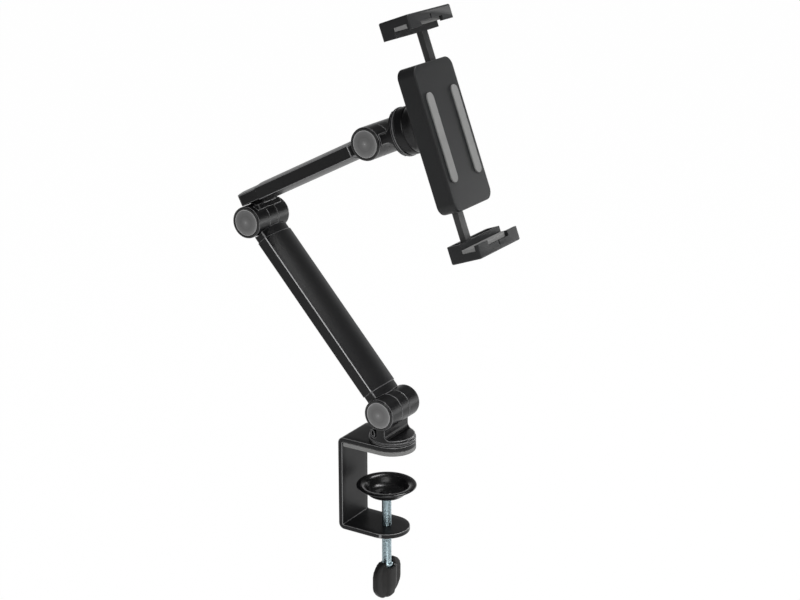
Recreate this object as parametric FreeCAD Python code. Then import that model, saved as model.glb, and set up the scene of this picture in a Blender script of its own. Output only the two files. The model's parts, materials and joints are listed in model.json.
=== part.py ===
import FreeCAD
import Part
import math
import os

# A clamp-on tablet holder: a desk clamp, two folding arms with friction hinges and a head that
# carries two sliding jaws. Sizes are millimetres, degrees for angles.
# X runs along the hinge barrels, -Y is the side that the held tablet faces, Z is up.
# The origin is on the clamp screw axis, on the underside of the pad that lies on the desk top.

V = FreeCAD.Vector
X_AXIS = V(1, 0, 0)
Y_AXIS = V(0, 1, 0)
Z_AXIS = V(0, 0, 1)

# Clamp bracket, bent from one strip of steel plate
bracket_width = 39.0
bracket_plate = 4.0
bracket_throat = 71.0
bracket_back_inner = 31.0
bracket_bend_inner = 1.2
pad_thickness = 3.5
pad_back_gap = 1.5
pad_skin = 0.6
pad_pocket_clearance = 0.4
swivel_offset = 5.7

# Clamp screw, its pressure plate and its wing knob
screw_diameter = 8.0
screw_core_clearance = 0.1
screw_neck_step = 0.4
plate_drop = 33.5
plate_diameter = 50.0
plate_sheet = 1.4
plate_rim_width = 4.2
plate_bowl_depth = 8.6
plate_floor_diameter = 27.0
plate_rim_lip = 1.6
swage_diameter = 11.0
swage_height = 1.6
swage_shoulder = 0.6
swage_crown = 2.2
plate_play = 0.1
knob_top_drop = 103.5
knob_ear_drop = 107.5
knob_shoulder_drop = 113.0
knob_heel_drop = 125.0
knob_bottom_drop = 136.0
knob_top_width = 16.0
knob_ear_width = 29.0
knob_width = 34.5
knob_toe_width = 18.0
knob_corner_round = 4.0
knob_wing_thickness = 6.2
knob_hub_top_drop = 108.3
knob_hub_diameter = 16.0
knob_hub_toe_diameter = 12.6
knob_hub_lift = 1.5
knob_hub_taper = 8.0
knob_hub_bevel = 1.0
knob_recess_depth = 2.3
knob_recess_clearance = 1.0
knob_floor = 6.0
knob_turn = -6.0
collar_diameter = 10.4
collar_height = 5.2

# Hinge barrels, the same at all three hinges
barrel_diameter = 26.5
ear_width = 14.3
knuckle_half = 5.45
ear_inner = 6.0
rim_thickness = 1.2
rim_diameter = 25.9
rim_chamfer = 0.5
disc_diameter = 21.8
disc_edge = 0.9
disc_dome = 0.55
disc_seat_clearance = 0.15
bolt_diameter = 6.0
bolt_clearance = 0.06
bolt_head_diameter = 11.0
bolt_head_height = 4.5
bolt_head_inset = 0.2
bolt_head_clearance = 0.3
bolt_socket = 4.0
bolt_socket_depth = 2.4
bolt_tip_inset = 0.6
nut_across_flats = 10.0
nut_height = 4.8
nut_inset = 0.4
nut_clearance = 0.3
washer_diameter = 22.0
washer_clearance = 0.05
saddle_clearance = 0.45
bush_wall = 1.0

# Yoke that carries a hinge on a round swivel foot
yoke_height = 27.7
swivel_washer = 0.8
foot_diameter = 39.0
foot_ring = 2.4
foot_groove = 0.5
foot_step = 0.9
neck_half = 3.8
neck_corner = 4.5
neck_top_round = 2.0
neck_top_drop = 3.2
flare_half = 17.8
flare_drop = 22.5
swivel_bolt_diameter = 6.0
swivel_head_diameter = 16.0
swivel_head_height = 2.7
swivel_bolt_depth = 9.0
set_screw_diameter = 4.0
set_screw_length = 12.2
set_screw_socket = 2.2
set_screw_socket_depth = 2.1
set_screw_boss_wall = 1.4
set_screw_boss_reach = 19.4
set_screw_angle = 155.0
set_screw_drop = 18.2
seat_gap = 0.3

# Arms: hollow extrusions with flat sides and crowned faces
arm_half_width = 17.8
arm_band_half = 4.5
arm_half_thickness = 7.8
arm_chamfer = 0.6
arm_wall = 1.8
end_inset = 0.7
end_start = 4.0
end_length = 19.0
plug_length = 14.0
plug_clearance = 0.12
plug_wall = 2.2
knuckle_web_inset = 1.4
lower_length = 190.6
lower_lean = 41.8
upper_length = 139.5
upper_rise = 27.2
upper_offset = 18.1
rear_end_back = 2.4
rear_corner_round = 4.0

# Elbow swivel under the rear end of the upper arm
elbow_swivel_forward = 8.5
elbow_disc_diameter = 20.4
elbow_disc_recess = 4.0
elbow_disc_clearance = 0.3
elbow_disc_bottom = 9.6
elbow_web_half = 15.5
elbow_web_front = 15.0
elbow_web_bottom = 5.5
elbow_web_top = 9.9
elbow_web_round = 3.0
elbow_thread_start = 12.7
elbow_screw_diameter = 5.0
elbow_screw_head = 9.0
elbow_screw_head_height = 3.0
elbow_screw_sink = 1.6
elbow_head_clearance = 0.5
elbow_washer_thickness = 0.8
elbow_socket = 3.4
elbow_socket_depth = 1.65

# Head: hub, housing, rack drive and jaws. Distances out are measured from the head hinge axis.
head_tilt = 20.3
tablet_face_out = 74.4
tablet_thickness = 6.1
tablet_width = 169.5
hub_above_centre = 11.0
hub_small = 38.0
hub_large = 46.0
hub_flange = 3.0
hub_ring_height = 7.0
hub_groove_width = 1.4
hub_groove_depth = 0.5
hub_bolt_head_height = 5.0
hub_bolt_socket = 6.0
hub_bolt_socket_depth = 2.6
hub_screw_diameter = 3.0
hub_screw_head = 5.4
hub_screw_head_height = 1.7
hub_screw_inset = 8.5
hub_screw_depth = 8.4
hub_screw_spare = 0.6
housing_half_length = 57.0
housing_half_width = 28.0
housing_depth = 16.5
housing_wall = 2.4
housing_corner = 8.0
housing_back_round = 1.6
housing_front_round = 0.9
housing_post_diameter = 6.2
housing_post_side_inset = 6.0
housing_post_end_inset = 8.0
housing_screw_diameter = 2.5
housing_screw_head = 5.8
housing_screw_head_height = 1.05
housing_screw_length = 9.9
housing_hole_clearance = 0.9
housing_rib_width = 4.0
housing_rib_length = 12.0
housing_rib_end_inset = 11.0
axle_boss_wall = 2.2
axle_end_inset = 1.0
cover_thickness = 2.6
face_pad_thickness = 1.4
face_pad_length = 70.0
face_pad_width = 9.0
face_pad_spacing = 36.0

# Rack and pinion that keep the jaws centred
pinion_teeth = 16
gear_module = 1.0
gear_thickness = 5.0
tooth_flank = 0.55
tooth_tip_half = 0.3
tooth_root_half = 0.75
tooth_addendum = 0.85
tooth_dedendum = 1.1
axle_diameter = 5.0
axle_clearance = 0.06
rack_body = 8.0
rack_reach = 116.0
rack_lift = 5.0
rack_slot_clearance = 0.35
brake_half = 26.0
brake_leaf = 0.5
brake_clearance = 0.35

# Jaws
jaw_width = 62.0
jaw_front_beyond = 3.0
jaw_depth = 27.4
jaw_lip_overlap = 1.5
jaw_lip_width = 15.5
jaw_plate = 6.4
jaw_pad = 3.0
jaw_leg_inner = 4.7
jaw_leg_gap = 6.0
jaw_wall = 2.4
jaw_corner = 2.2
jaw_edge_round = 1.3
jaw_slot_width = 1.2
jaw_slot_height = 3.6
jaw_slot_drop = 7.2
jaw_slot_depth = 0.8
jaw_block_wall = 2.6
jaw_window_floor = 0.6
jaw_socket_clearance = 0.1
jaw_socket_end = 0.4
jaw_screw_diameter = 3.0
jaw_screw_head = 5.4
jaw_screw_head_height = 1.2
jaw_screw_head_sink = 1.4
jaw_screw_inset = 3.2
jaw_screw_spacing = 5.4
jaw_pad_clearance = 0.1
jaw_pad_end_clearance = 0.3

barrel_radius = barrel_diameter / 2
ear_outer = ear_inner + ear_width
saddle_radius = barrel_radius + saddle_clearance
plate_top = pad_thickness + bracket_plate
hinge_height = plate_top + yoke_height
elbow_underside = upper_offset - arm_band_half
pi_pitch = math.pi * gear_module
pinion_radius = gear_module * pinion_teeth / 2


def box(x0, x1, y0, y1, z0, z1):
    """A block between two corners."""
    return Part.makeBox(x1 - x0, y1 - y0, z1 - z0, V(x0, y0, z0))


def cylinder(radius, start, length, axis=Z_AXIS):
    """A cylinder from a start point along an axis."""
    return Part.makeCylinder(radius, length, V(*start), axis)


def across(radius, x0, x1, y=0.0, z=0.0):
    """A cylinder along X between two X values."""
    return cylinder(radius, (x0, y, z), x1 - x0, X_AXIS)


def prism(points, vector):
    """A straight-sided outline pushed along a vector."""
    wire = Part.makePolygon([V(*p) for p in points] + [V(*points[0])])
    return Part.Face(wire).extrude(vector)


def revolve(points):
    """An outline of (radius, height) points turned about Z."""
    wire = Part.makePolygon([V(r, 0, z) for r, z in points] + [V(points[0][0], 0, points[0][1])])
    return Part.Face(wire).revolve(V(0, 0, 0), Z_AXIS, 360)


def hexagon(across_flats, x0, x1):
    """A hexagonal prism along X."""
    radius = across_flats / math.sqrt(3)
    corners = [(x0, radius * math.cos(math.radians(60 * i)), radius * math.sin(math.radians(60 * i)))
               for i in range(6)]
    return prism(corners, V(x1 - x0, 0, 0))


def placed(shape, turn=0.0, at=(0, 0, 0)):
    """A copy turned about X, then moved."""
    copy = shape.copy()
    copy.rotate(V(0, 0, 0), X_AXIS, turn)
    copy.translate(V(*at))
    return copy


def mirrored(shape, normal):
    """A mirror image through the origin."""
    return shape.mirror(V(0, 0, 0), normal)


def rounded(shape, radius, pick):
    """Fillets on the edges that pick() chooses."""
    edges = [edge for edge in shape.Edges if pick(edge)]
    return shape.makeFillet(radius, edges)


def runs_along(edge, axis, tolerance=1e-6):
    """True for a straight edge parallel to an axis."""
    if not isinstance(edge.Curve, (Part.Line, Part.LineSegment)):
        return False
    step = edge.Vertexes[-1].Point.sub(edge.Vertexes[0].Point)
    return step.cross(axis).Length < tolerance * max(step.Length, 1.0)


def bracket_strip(inner_y, tip_y, z0, z1):
    """A leg of the bracket with a half-round tip, seen from above."""
    half = bracket_width / 2
    leg = box(-half, half, tip_y, inner_y, z0, z1)
    return leg.fuse(cylinder(half, (0, tip_y, z0), z1 - z0)).removeSplitter()


def make_clamp():
    """The bent bracket, its pad and the bolt that the arm turns on."""
    half = bracket_width / 2
    bottom_top = -bracket_throat
    outer_y = bracket_back_inner + bracket_plate
    outside = box(-half, half, -swivel_offset, outer_y, bottom_top - bracket_plate, plate_top)
    bend = bracket_bend_inner + bracket_plate
    outside = rounded(outside, bend, lambda e: runs_along(e, X_AXIS) and e.CenterOfMass.y > outer_y - 1)
    inside = box(-half - 1, half + 1, -swivel_offset - 1, bracket_back_inner, bottom_top, pad_thickness)
    inside = rounded(inside, bracket_bend_inner,
                     lambda e: runs_along(e, X_AXIS) and e.CenterOfMass.y > bracket_back_inner - 1)
    bent = outside.cut(inside)
    short = box(-half - 1, half + 1, -swivel_offset - 1, 0, bottom_top - bracket_plate - 1, bottom_top + 1)
    bent = bent.cut(short)
    top_tip = cylinder(half, (0, -swivel_offset, pad_thickness), bracket_plate)
    bottom_tip = cylinder(half, (0, 0, bottom_top - bracket_plate), bracket_plate)
    bracket = bent.fuse([top_tip, bottom_tip]).removeSplitter()
    swivel_hole = cylinder(swivel_bolt_diameter / 2 + bolt_clearance, (0, -swivel_offset, pad_thickness - 1),
                           bracket_plate + 2)
    screw_hole = cylinder(screw_diameter / 2 + screw_core_clearance,
                          (0, 0, bottom_top - bracket_plate - 1), bracket_plate + 2)
    bracket = bracket.cut([swivel_hole, screw_hole])

    pad = bracket_strip(bracket_back_inner - pad_back_gap, -swivel_offset, 0, pad_thickness)
    pocket_radius = swivel_head_diameter / 2 + pad_pocket_clearance
    pocket = cylinder(pocket_radius, (0, -swivel_offset, pad_skin), pad_thickness)
    pad = pad.cut(pocket)

    head = cylinder(swivel_head_diameter / 2, (0, -swivel_offset, pad_thickness - swivel_head_height),
                    swivel_head_height)
    shank = cylinder(swivel_bolt_diameter / 2, (0, -swivel_offset, pad_thickness),
                     bracket_plate + swivel_bolt_depth)
    bolt = head.fuse(shank).removeSplitter()
    return {"clamp_bracket": bracket, "clamp_pad": pad, "base_swivel_bolt": bolt}


def make_pressure_plate():
    """The dished steel plate that the screw pushes up under the desk."""
    rim = plate_diameter / 2
    shoulder = rim - plate_rim_width
    floor = plate_floor_diameter / 2
    top = -plate_drop
    floor_top = top - plate_bowl_depth
    hole = screw_diameter / 2 + 0.3
    outline = [
        (hole, floor_top), (floor, floor_top), (floor + 2.4, floor_top + 1.3),
        (shoulder - 2.0, top - 1.4), (shoulder - 0.5, top - 0.3), (shoulder + 0.7, top),
        (rim - 0.9, top), (rim - 0.2, top - 0.4), (rim, top - plate_rim_lip),
        (rim - plate_sheet, top - plate_rim_lip), (shoulder + 1.5, top - plate_sheet),
        (shoulder, top - plate_sheet - 0.5), (floor + 3.4, floor_top - 0.2),
        (floor + 0.6, floor_top - plate_sheet), (hole, floor_top - plate_sheet)]
    return {"pressure_plate": revolve(outline)}


def make_clamp_screw():
    """The zinc-plated screw, its locking collar and the moulded wing knob."""
    floor_top = -plate_drop - plate_bowl_depth
    seat = floor_top - plate_sheet - plate_play
    swage_low = floor_top + plate_play
    screw_low = -knob_bottom_drop + knob_floor
    core = cylinder(screw_diameter / 2, (0, 0, screw_low), seat - screw_low)
    neck = cylinder(screw_diameter / 2 - screw_neck_step, (0, 0, seat), swage_low - seat)
    swage = revolve([(0, swage_low), (swage_diameter / 2, swage_low),
                     (swage_diameter / 2 - swage_shoulder, swage_low + swage_height * 0.7),
                     (swage_diameter / 2 - swage_crown, swage_low + swage_height),
                     (0, swage_low + swage_height * 0.6)])
    screw = core.fuse([neck, swage]).removeSplitter()

    collar_bottom = -knob_hub_top_drop - knob_recess_depth
    collar = cylinder(collar_diameter / 2, (0, 0, collar_bottom), collar_height)
    collar = collar.cut(cylinder(screw_diameter / 2, (0, 0, collar_bottom - 1), collar_height + 2))

    right = [(knob_top_width / 2, -knob_top_drop), (knob_ear_width / 2, -knob_ear_drop),
             (knob_width / 2, -knob_shoulder_drop), (knob_width / 2, -knob_heel_drop),
             (knob_toe_width / 2, -knob_bottom_drop)]
    left = [(-x, z) for x, z in reversed(right)]
    wing = prism([(x, -knob_wing_thickness / 2, z) for x, z in right + left], V(0, knob_wing_thickness, 0))
    wing = rounded(wing, knob_corner_round, lambda e: runs_along(e, Y_AXIS))
    hub_low = -knob_bottom_drop + knob_hub_lift
    hub_radius = knob_hub_diameter / 2
    toe_radius = knob_hub_toe_diameter / 2
    hub_high = -knob_hub_top_drop
    hub = revolve([(0, hub_low), (toe_radius - knob_hub_bevel, hub_low),
                   (toe_radius, hub_low + knob_hub_bevel), (hub_radius, hub_low + knob_hub_taper),
                   (hub_radius, hub_high - knob_hub_bevel), (hub_radius - knob_hub_bevel, hub_high),
                   (0, hub_high)])
    knob = wing.fuse(hub).removeSplitter()
    recess = cylinder(collar_diameter / 2 + knob_recess_clearance, (0, 0, collar_bottom),
                      knob_bottom_drop - knob_top_drop)
    bore = cylinder(screw_diameter / 2, (0, 0, screw_low), knob_bottom_drop - knob_top_drop)
    knob = knob.cut([recess, bore])
    knob.rotate(V(0, 0, 0), Z_AXIS, knob_turn)
    return {"clamp_screw": screw, "screw_collar": collar, "wing_knob": knob}


def barrel_ears():
    """The two outer thirds of a hinge barrel, bored for the bolt, its head and its nut."""
    ears = []
    for side in (-1, 1):
        inner, outer = sorted((side * ear_inner, side * ear_outer))
        ears.append(across(barrel_radius, inner, outer))
    return ears


def barrel_bores(head_side):
    """Cuts for the bolt through both ears, a round head pocket and a hexagonal nut pocket."""
    through = across(bolt_diameter / 2 + bolt_clearance, -ear_outer - 1, ear_outer + 1)
    head_radius = bolt_head_diameter / 2 + bolt_head_clearance
    head = across(head_radius, ear_outer - bolt_head_height - bolt_head_inset, ear_outer + 1)
    nut = hexagon(nut_across_flats + nut_clearance, -ear_outer - 1, -ear_outer + nut_height + nut_clearance)
    if head_side < 0:
        head = mirrored(head, X_AXIS)
        nut = mirrored(nut, X_AXIS)
    return [through, head, nut]


def barrel_hardware(prefix, head_side=-1):
    """Bolt, nut, washers, black rims and spun discs of one hinge, centred on the origin."""
    head = across(bolt_head_diameter / 2, ear_outer - bolt_head_height, ear_outer - bolt_head_inset)
    shank = across(bolt_diameter / 2, -ear_outer + bolt_tip_inset, ear_outer - bolt_head_height)
    socket = hexagon(bolt_socket, ear_outer - bolt_head_inset - bolt_socket_depth, ear_outer + 1)
    bolt = head.fuse(shank).removeSplitter().cut(socket)
    nut = hexagon(nut_across_flats, -ear_outer + nut_inset, -ear_outer + nut_height)
    nut = nut.cut(across(bolt_diameter / 2, -ear_outer - 1, -ear_outer + nut_height + 1))
    if head_side < 0:
        bolt = mirrored(bolt, X_AXIS)
        nut = mirrored(nut, X_AXIS)
    washers = []
    rims = []
    discs = []
    for side in (-1, 1):
        flat = across(washer_diameter / 2, knuckle_half + washer_clearance, ear_inner)
        flat = flat.cut(across(bolt_diameter / 2 + bolt_clearance, 0, ear_outer))
        rim = across(rim_diameter / 2, ear_outer, ear_outer + rim_thickness)
        brim = [edge for edge in rim.Edges if edge.CenterOfMass.x > ear_outer + rim_thickness - 0.01]
        rim = rim.makeChamfer(rim_chamfer, brim)
        seat_radius = disc_diameter / 2 + disc_seat_clearance
        rim = rim.cut(across(seat_radius, ear_outer - 1, ear_outer + rim_thickness + 1))
        ball = (disc_diameter / 2) ** 2 / (2 * disc_dome) + disc_dome / 2
        dome = Part.makeSphere(ball, V(ear_outer + disc_edge + disc_dome - ball, 0, 0))
        slab = across(disc_diameter / 2, ear_outer, ear_outer + disc_edge + disc_dome + 0.5)
        disc = slab.common(dome)
        if side < 0:
            flat = mirrored(flat, X_AXIS)
            rim = mirrored(rim, X_AXIS)
            disc = mirrored(disc, X_AXIS)
        washers.append(flat)
        rims.append(rim)
        discs.append(disc)
    return {
        prefix + "_hinge_bolt": bolt,
        prefix + "_hinge_nut": nut,
        prefix + "_friction_washers": Part.Compound(washers),
        prefix + "_barrel_rims": Part.Compound(rims),
        prefix + "_barrel_discs": Part.Compound(discs)}


def make_yoke(name, with_set_screw):
    """The cast yoke: a round ringed foot, a scooped neck and two ears. Its hinge is at the origin."""
    foot = -yoke_height + swivel_washer
    radius = foot_diameter / 2
    rings = revolve([
        (0, foot), (radius - 0.4, foot), (radius, foot + 0.4), (radius, foot + foot_ring - 0.3),
        (radius - 0.3, foot + foot_ring), (radius - foot_step - 0.7, foot + foot_ring),
        (radius - foot_step - 0.7, foot + foot_ring + foot_groove),
        (radius - foot_step, foot + foot_ring + foot_groove + 0.2),
        (radius - foot_step, -flare_drop - 0.2), (radius - foot_step - 0.5, -flare_drop + 0.3),
        (0, -flare_drop + 0.3)])
    flare = -flare_drop
    top_half = neck_half + neck_top_round
    top = -math.sqrt(barrel_radius ** 2 - top_half ** 2) + seat_gap
    share = 1 - math.sqrt(0.5)
    side = [V(0, -top_half, top), V(0, -neck_half, top - neck_top_drop),
            V(0, -neck_half, flare + neck_corner), V(0, -neck_half - neck_corner, flare),
            V(0, -flare_half, flare), V(0, -flare_half, foot + 1)]
    top_middle = V(0, -neck_half - share * neck_top_round, top - share * neck_top_drop)
    corner_middle = V(0, -neck_half - share * neck_corner, flare + share * neck_corner)
    half = [Part.Arc(side[0], top_middle, side[1]).toShape(),
            Part.LineSegment(side[1], side[2]).toShape(),
            Part.Arc(side[2], corner_middle, side[3]).toShape(),
            Part.LineSegment(side[3], side[4]).toShape(),
            Part.LineSegment(side[4], side[5]).toShape()]
    edges = half + [edge.mirror(V(0, 0, 0), Y_AXIS) for edge in half]
    for z in (top, foot + 1):
        reach = top_half if z == top else flare_half
        edges.append(Part.LineSegment(V(0, -reach, z), V(0, reach, z)).toShape())
    neck = Part.Face(Part.Wire(Part.__sortEdges__(edges))).extrude(V(2 * ear_outer, 0, 0))
    neck.translate(V(-ear_outer, 0, 0))
    neck = neck.common(cylinder(radius - foot_step, (0, 0, foot), yoke_height))
    yoke = neck.fuse(barrel_ears() + [rings]).removeSplitter()
    slot = across(saddle_radius, -ear_inner, ear_inner)
    swivel = cylinder(swivel_bolt_diameter / 2, (0, 0, foot - 1), swivel_bolt_depth - swivel_washer + 1)
    yoke = yoke.cut([slot, swivel] + barrel_bores(-1))
    pieces = {}
    if with_set_screw:
        way = V(math.cos(math.radians(set_screw_angle)), math.sin(math.radians(set_screw_angle)), 0)
        tip = swivel_bolt_diameter / 2 + seat_gap
        tip_place = V(way.x * tip, way.y * tip, -set_screw_drop)
        reach = set_screw_boss_reach - tip
        boss = Part.makeCylinder(set_screw_diameter / 2 + set_screw_boss_wall, reach, tip_place, way)
        hole = Part.makeCylinder(set_screw_diameter / 2, reach + 1, tip_place, way)
        screw = Part.makeCylinder(set_screw_diameter / 2, set_screw_length, tip_place, way)
        yoke = yoke.fuse(boss).removeSplitter().cut([hole, swivel])
        key = tip + set_screw_length - set_screw_socket_depth
        key_place = V(way.x * key, way.y * key, -set_screw_drop)
        pieces["base_set_screw"] = screw.cut(Part.makeCylinder(set_screw_socket / 2, 4, key_place, way))
    hole = swivel_bolt_diameter / 2 + bolt_clearance
    washer = revolve([(hole, foot - swivel_washer), (radius - 1.5, foot - swivel_washer),
                      (radius - 1.5, foot), (hole, foot)])
    pieces[name + "_yoke"] = yoke
    pieces[name + "_swivel_washer"] = washer
    return pieces


def arm_outline(inset, z):
    """The arm's section: flat sides, small chamfers and crowned faces, drawn at one height."""
    w = arm_half_width - inset
    b = arm_band_half - 0.35 * inset
    t = arm_half_thickness - inset
    c = arm_chamfer
    edges = []
    for side in (1, -1):
        left, crown, right = V(-w + c, side * (b + c), z), V(0, side * t, z), V(w - c, side * (b + c), z)
        edges.append(Part.Arc(left, crown, right).toShape())
    for side in (1, -1):
        edges.append(Part.LineSegment(V(side * w, -b, z), V(side * w, b, z)).toShape())
        for end in (1, -1):
            outer = V(side * w, end * b, z)
            edges.append(Part.LineSegment(outer, V(side * (w - c), end * (b + c), z)).toShape())
    return Part.Face(Part.Wire(Part.__sortEdges__(edges)))


def arm_bar(inset, z0, z1):
    """A length of the arm's section."""
    return arm_outline(inset, z0).extrude(V(0, 0, z1 - z0))


def make_tube(z0, z1):
    """The extruded aluminium tube."""
    return arm_bar(0, z0, z1).cut(arm_bar(arm_wall, z0 - 1, z1 + 1))


def make_end(up):
    """An arm end: a plug in the tube, a saddle round the ears and the middle knuckle of the barrel."""
    body = arm_bar(end_inset, end_start, end_length)
    ears = across(saddle_radius, -arm_half_width - 1, arm_half_width + 1)
    body = body.cut(ears)
    knuckle = across(barrel_radius, -knuckle_half, knuckle_half)
    web_half = arm_half_thickness - knuckle_web_inset
    web = box(-knuckle_half, knuckle_half, -web_half, web_half, 0, end_length - 2)
    plug = arm_bar(arm_wall + plug_clearance, end_length - 3, end_length + plug_length)
    hollow = arm_bar(arm_wall + plug_clearance + plug_wall, end_length + 1, end_length + plug_length + 1)
    end = body.fuse([knuckle, web, plug]).removeSplitter().cut(hollow)
    bush_bore = across(bolt_diameter / 2 + bolt_clearance + bush_wall, -knuckle_half - 1, knuckle_half + 1)
    end = end.cut(bush_bore)
    if not up:
        return end
    return mirrored(end, Z_AXIS)


def make_bush():
    """The plain bush that the hinge bolt turns in."""
    outer = across(bolt_diameter / 2 + bolt_clearance + bush_wall, -knuckle_half, knuckle_half)
    return outer.cut(across(bolt_diameter / 2 + bolt_clearance, -knuckle_half - 1, knuckle_half + 1))


def make_elbow_yoke():
    """The low yoke between the elbow barrel and the upper arm, in the upper arm's frame."""
    top = elbow_underside + elbow_disc_recess
    centre = elbow_swivel_forward
    disc = cylinder(elbow_disc_diameter / 2, (0, elbow_disc_bottom, centre), top - elbow_disc_bottom, Y_AXIS)
    web = box(-elbow_web_half, elbow_web_half, elbow_web_bottom, elbow_web_top, 0, elbow_web_front)
    web = rounded(web, elbow_web_round, lambda e: runs_along(e, Y_AXIS) and e.CenterOfMass.z > 1)
    yoke = web.fuse([disc] + barrel_ears()).removeSplitter()
    slot = across(saddle_radius, -ear_inner, ear_inner)
    thread = cylinder(elbow_screw_diameter / 2, (0, elbow_disc_bottom - 1, centre), top, Y_AXIS)
    yoke = yoke.cut([slot, thread] + barrel_bores(-1))
    return {"elbow_yoke": yoke}


def make_rear_end():
    """The upper arm's rear end, which turns on the elbow disc. Its frame is the upper arm's."""
    body = arm_bar(end_inset, -rear_end_back, end_length)
    body = rounded(body, rear_corner_round,
                   lambda e: (runs_along(e, Y_AXIS) and e.CenterOfMass.z < 0
                              and abs(e.CenterOfMass.x) > arm_half_width - 2))
    plug = arm_bar(arm_wall + plug_clearance, end_length - 3, end_length + plug_length)
    hollow = arm_bar(arm_wall + plug_clearance + plug_wall, end_length + 2, end_length + plug_length + 1)
    end = body.fuse(plug).removeSplitter().cut(hollow)
    end.translate(V(0, upper_offset, 0))
    under = box(-arm_half_width - 1, arm_half_width + 1, 0, elbow_underside, -rear_end_back - 1, end_length)
    recess = cylinder(elbow_disc_diameter / 2 + elbow_disc_clearance, (0, 0, elbow_swivel_forward),
                      elbow_underside + elbow_disc_recess + 0.1, Y_AXIS)
    head_floor = upper_offset + arm_half_thickness - end_inset - elbow_screw_head_height - elbow_screw_sink
    head = cylinder(elbow_screw_head / 2 + elbow_head_clearance, (0, head_floor, elbow_swivel_forward),
                    arm_half_thickness * 2, Y_AXIS)
    bore = cylinder(elbow_screw_diameter / 2 + bolt_clearance, (0, 0, elbow_swivel_forward), 2 * upper_offset, Y_AXIS)
    end = end.cut([under, recess, head, bore])
    washer_low = head_floor + washer_clearance
    head_low = washer_low + elbow_washer_thickness
    washer = cylinder(elbow_screw_head / 2, (0, washer_low, elbow_swivel_forward), elbow_washer_thickness, Y_AXIS)
    washer = washer.cut(bore)
    screw_head = cylinder(elbow_screw_head / 2, (0, head_low, elbow_swivel_forward), elbow_screw_head_height,
                          Y_AXIS)
    shank = cylinder(elbow_screw_diameter / 2, (0, elbow_thread_start, elbow_swivel_forward),
                     head_low - elbow_thread_start, Y_AXIS)
    key_floor = head_low + elbow_screw_head_height - elbow_socket_depth
    key = cylinder(elbow_socket / 2, (0, key_floor, elbow_swivel_forward), elbow_screw_head_height, Y_AXIS)
    screw = screw_head.fuse(shank).removeSplitter().cut(key)
    return {"upper_arm_rear_end": end, "elbow_swivel_washer": washer, "elbow_swivel_screw": screw}


def make_hub():
    """The turned hub behind the housing and the bolt that the head turns on."""
    near = yoke_height
    far = tablet_face_out - jaw_depth + jaw_front_beyond
    small = hub_small / 2
    large = hub_large / 2
    pocket = swivel_head_diameter / 2 + 1.0
    bore = swivel_bolt_diameter / 2 + bolt_clearance
    ring = near + hub_ring_height
    outline = [
        (bore, near), (small - 0.6, near), (small, near + 0.6), (small, ring),
        (small - hub_groove_depth, ring + 0.4), (small - hub_groove_depth, ring + hub_groove_width - 0.4),
        (small, ring + hub_groove_width), (small + 0.9, far - 8.0), (large - 1.2, far - 3.6),
        (large, far - 2.2), (large, far), (pocket, far), (pocket, near + hub_flange),
        (bore, near + hub_flange)]
    hub = revolve(outline)
    head_top = near + hub_flange + hub_bolt_head_height
    head = cylinder(swivel_head_diameter / 2, (0, 0, near + hub_flange), hub_bolt_head_height)
    shank_low = near - swivel_bolt_depth
    shank = cylinder(swivel_bolt_diameter / 2, (0, 0, shank_low), near + hub_flange - shank_low)
    socket = cylinder(hub_bolt_socket / 2, (0, 0, head_top - hub_bolt_socket_depth), hub_bolt_socket_depth + 1)
    bolt = head.fuse(shank).removeSplitter().cut(socket)
    holes = []
    screws = []
    radius = hub_screw_diameter / 2
    screw_low = far - hub_screw_depth
    for quarter in range(4):
        angle = math.radians(45 + 90 * quarter)
        x = (large - hub_screw_inset) * math.cos(angle)
        y = (large - hub_screw_inset) * math.sin(angle)
        holes.append(cylinder(radius, (x, y, screw_low - hub_screw_spare), hub_screw_depth + housing_depth))
        screw = cylinder(radius, (x, y, screw_low), hub_screw_depth + housing_wall)
        head = cylinder(hub_screw_head / 2, (x, y, far + housing_wall), hub_screw_head_height)
        screws.append(screw.fuse(head).removeSplitter())
    pieces = {"swivel_hub": hub.cut(holes), "head_swivel_bolt": bolt, "hub_screws": Part.Compound(screws)}
    return pieces, holes


def housing_block(inset, z0, z1):
    """The housing's rounded outline between two levels, shrunk by an inset."""
    w = housing_half_width - inset
    h = housing_half_length - inset
    block = box(-w, w, -h, h, z0, z1)
    return rounded(block, housing_corner - inset, lambda e: runs_along(e, Z_AXIS))


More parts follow.
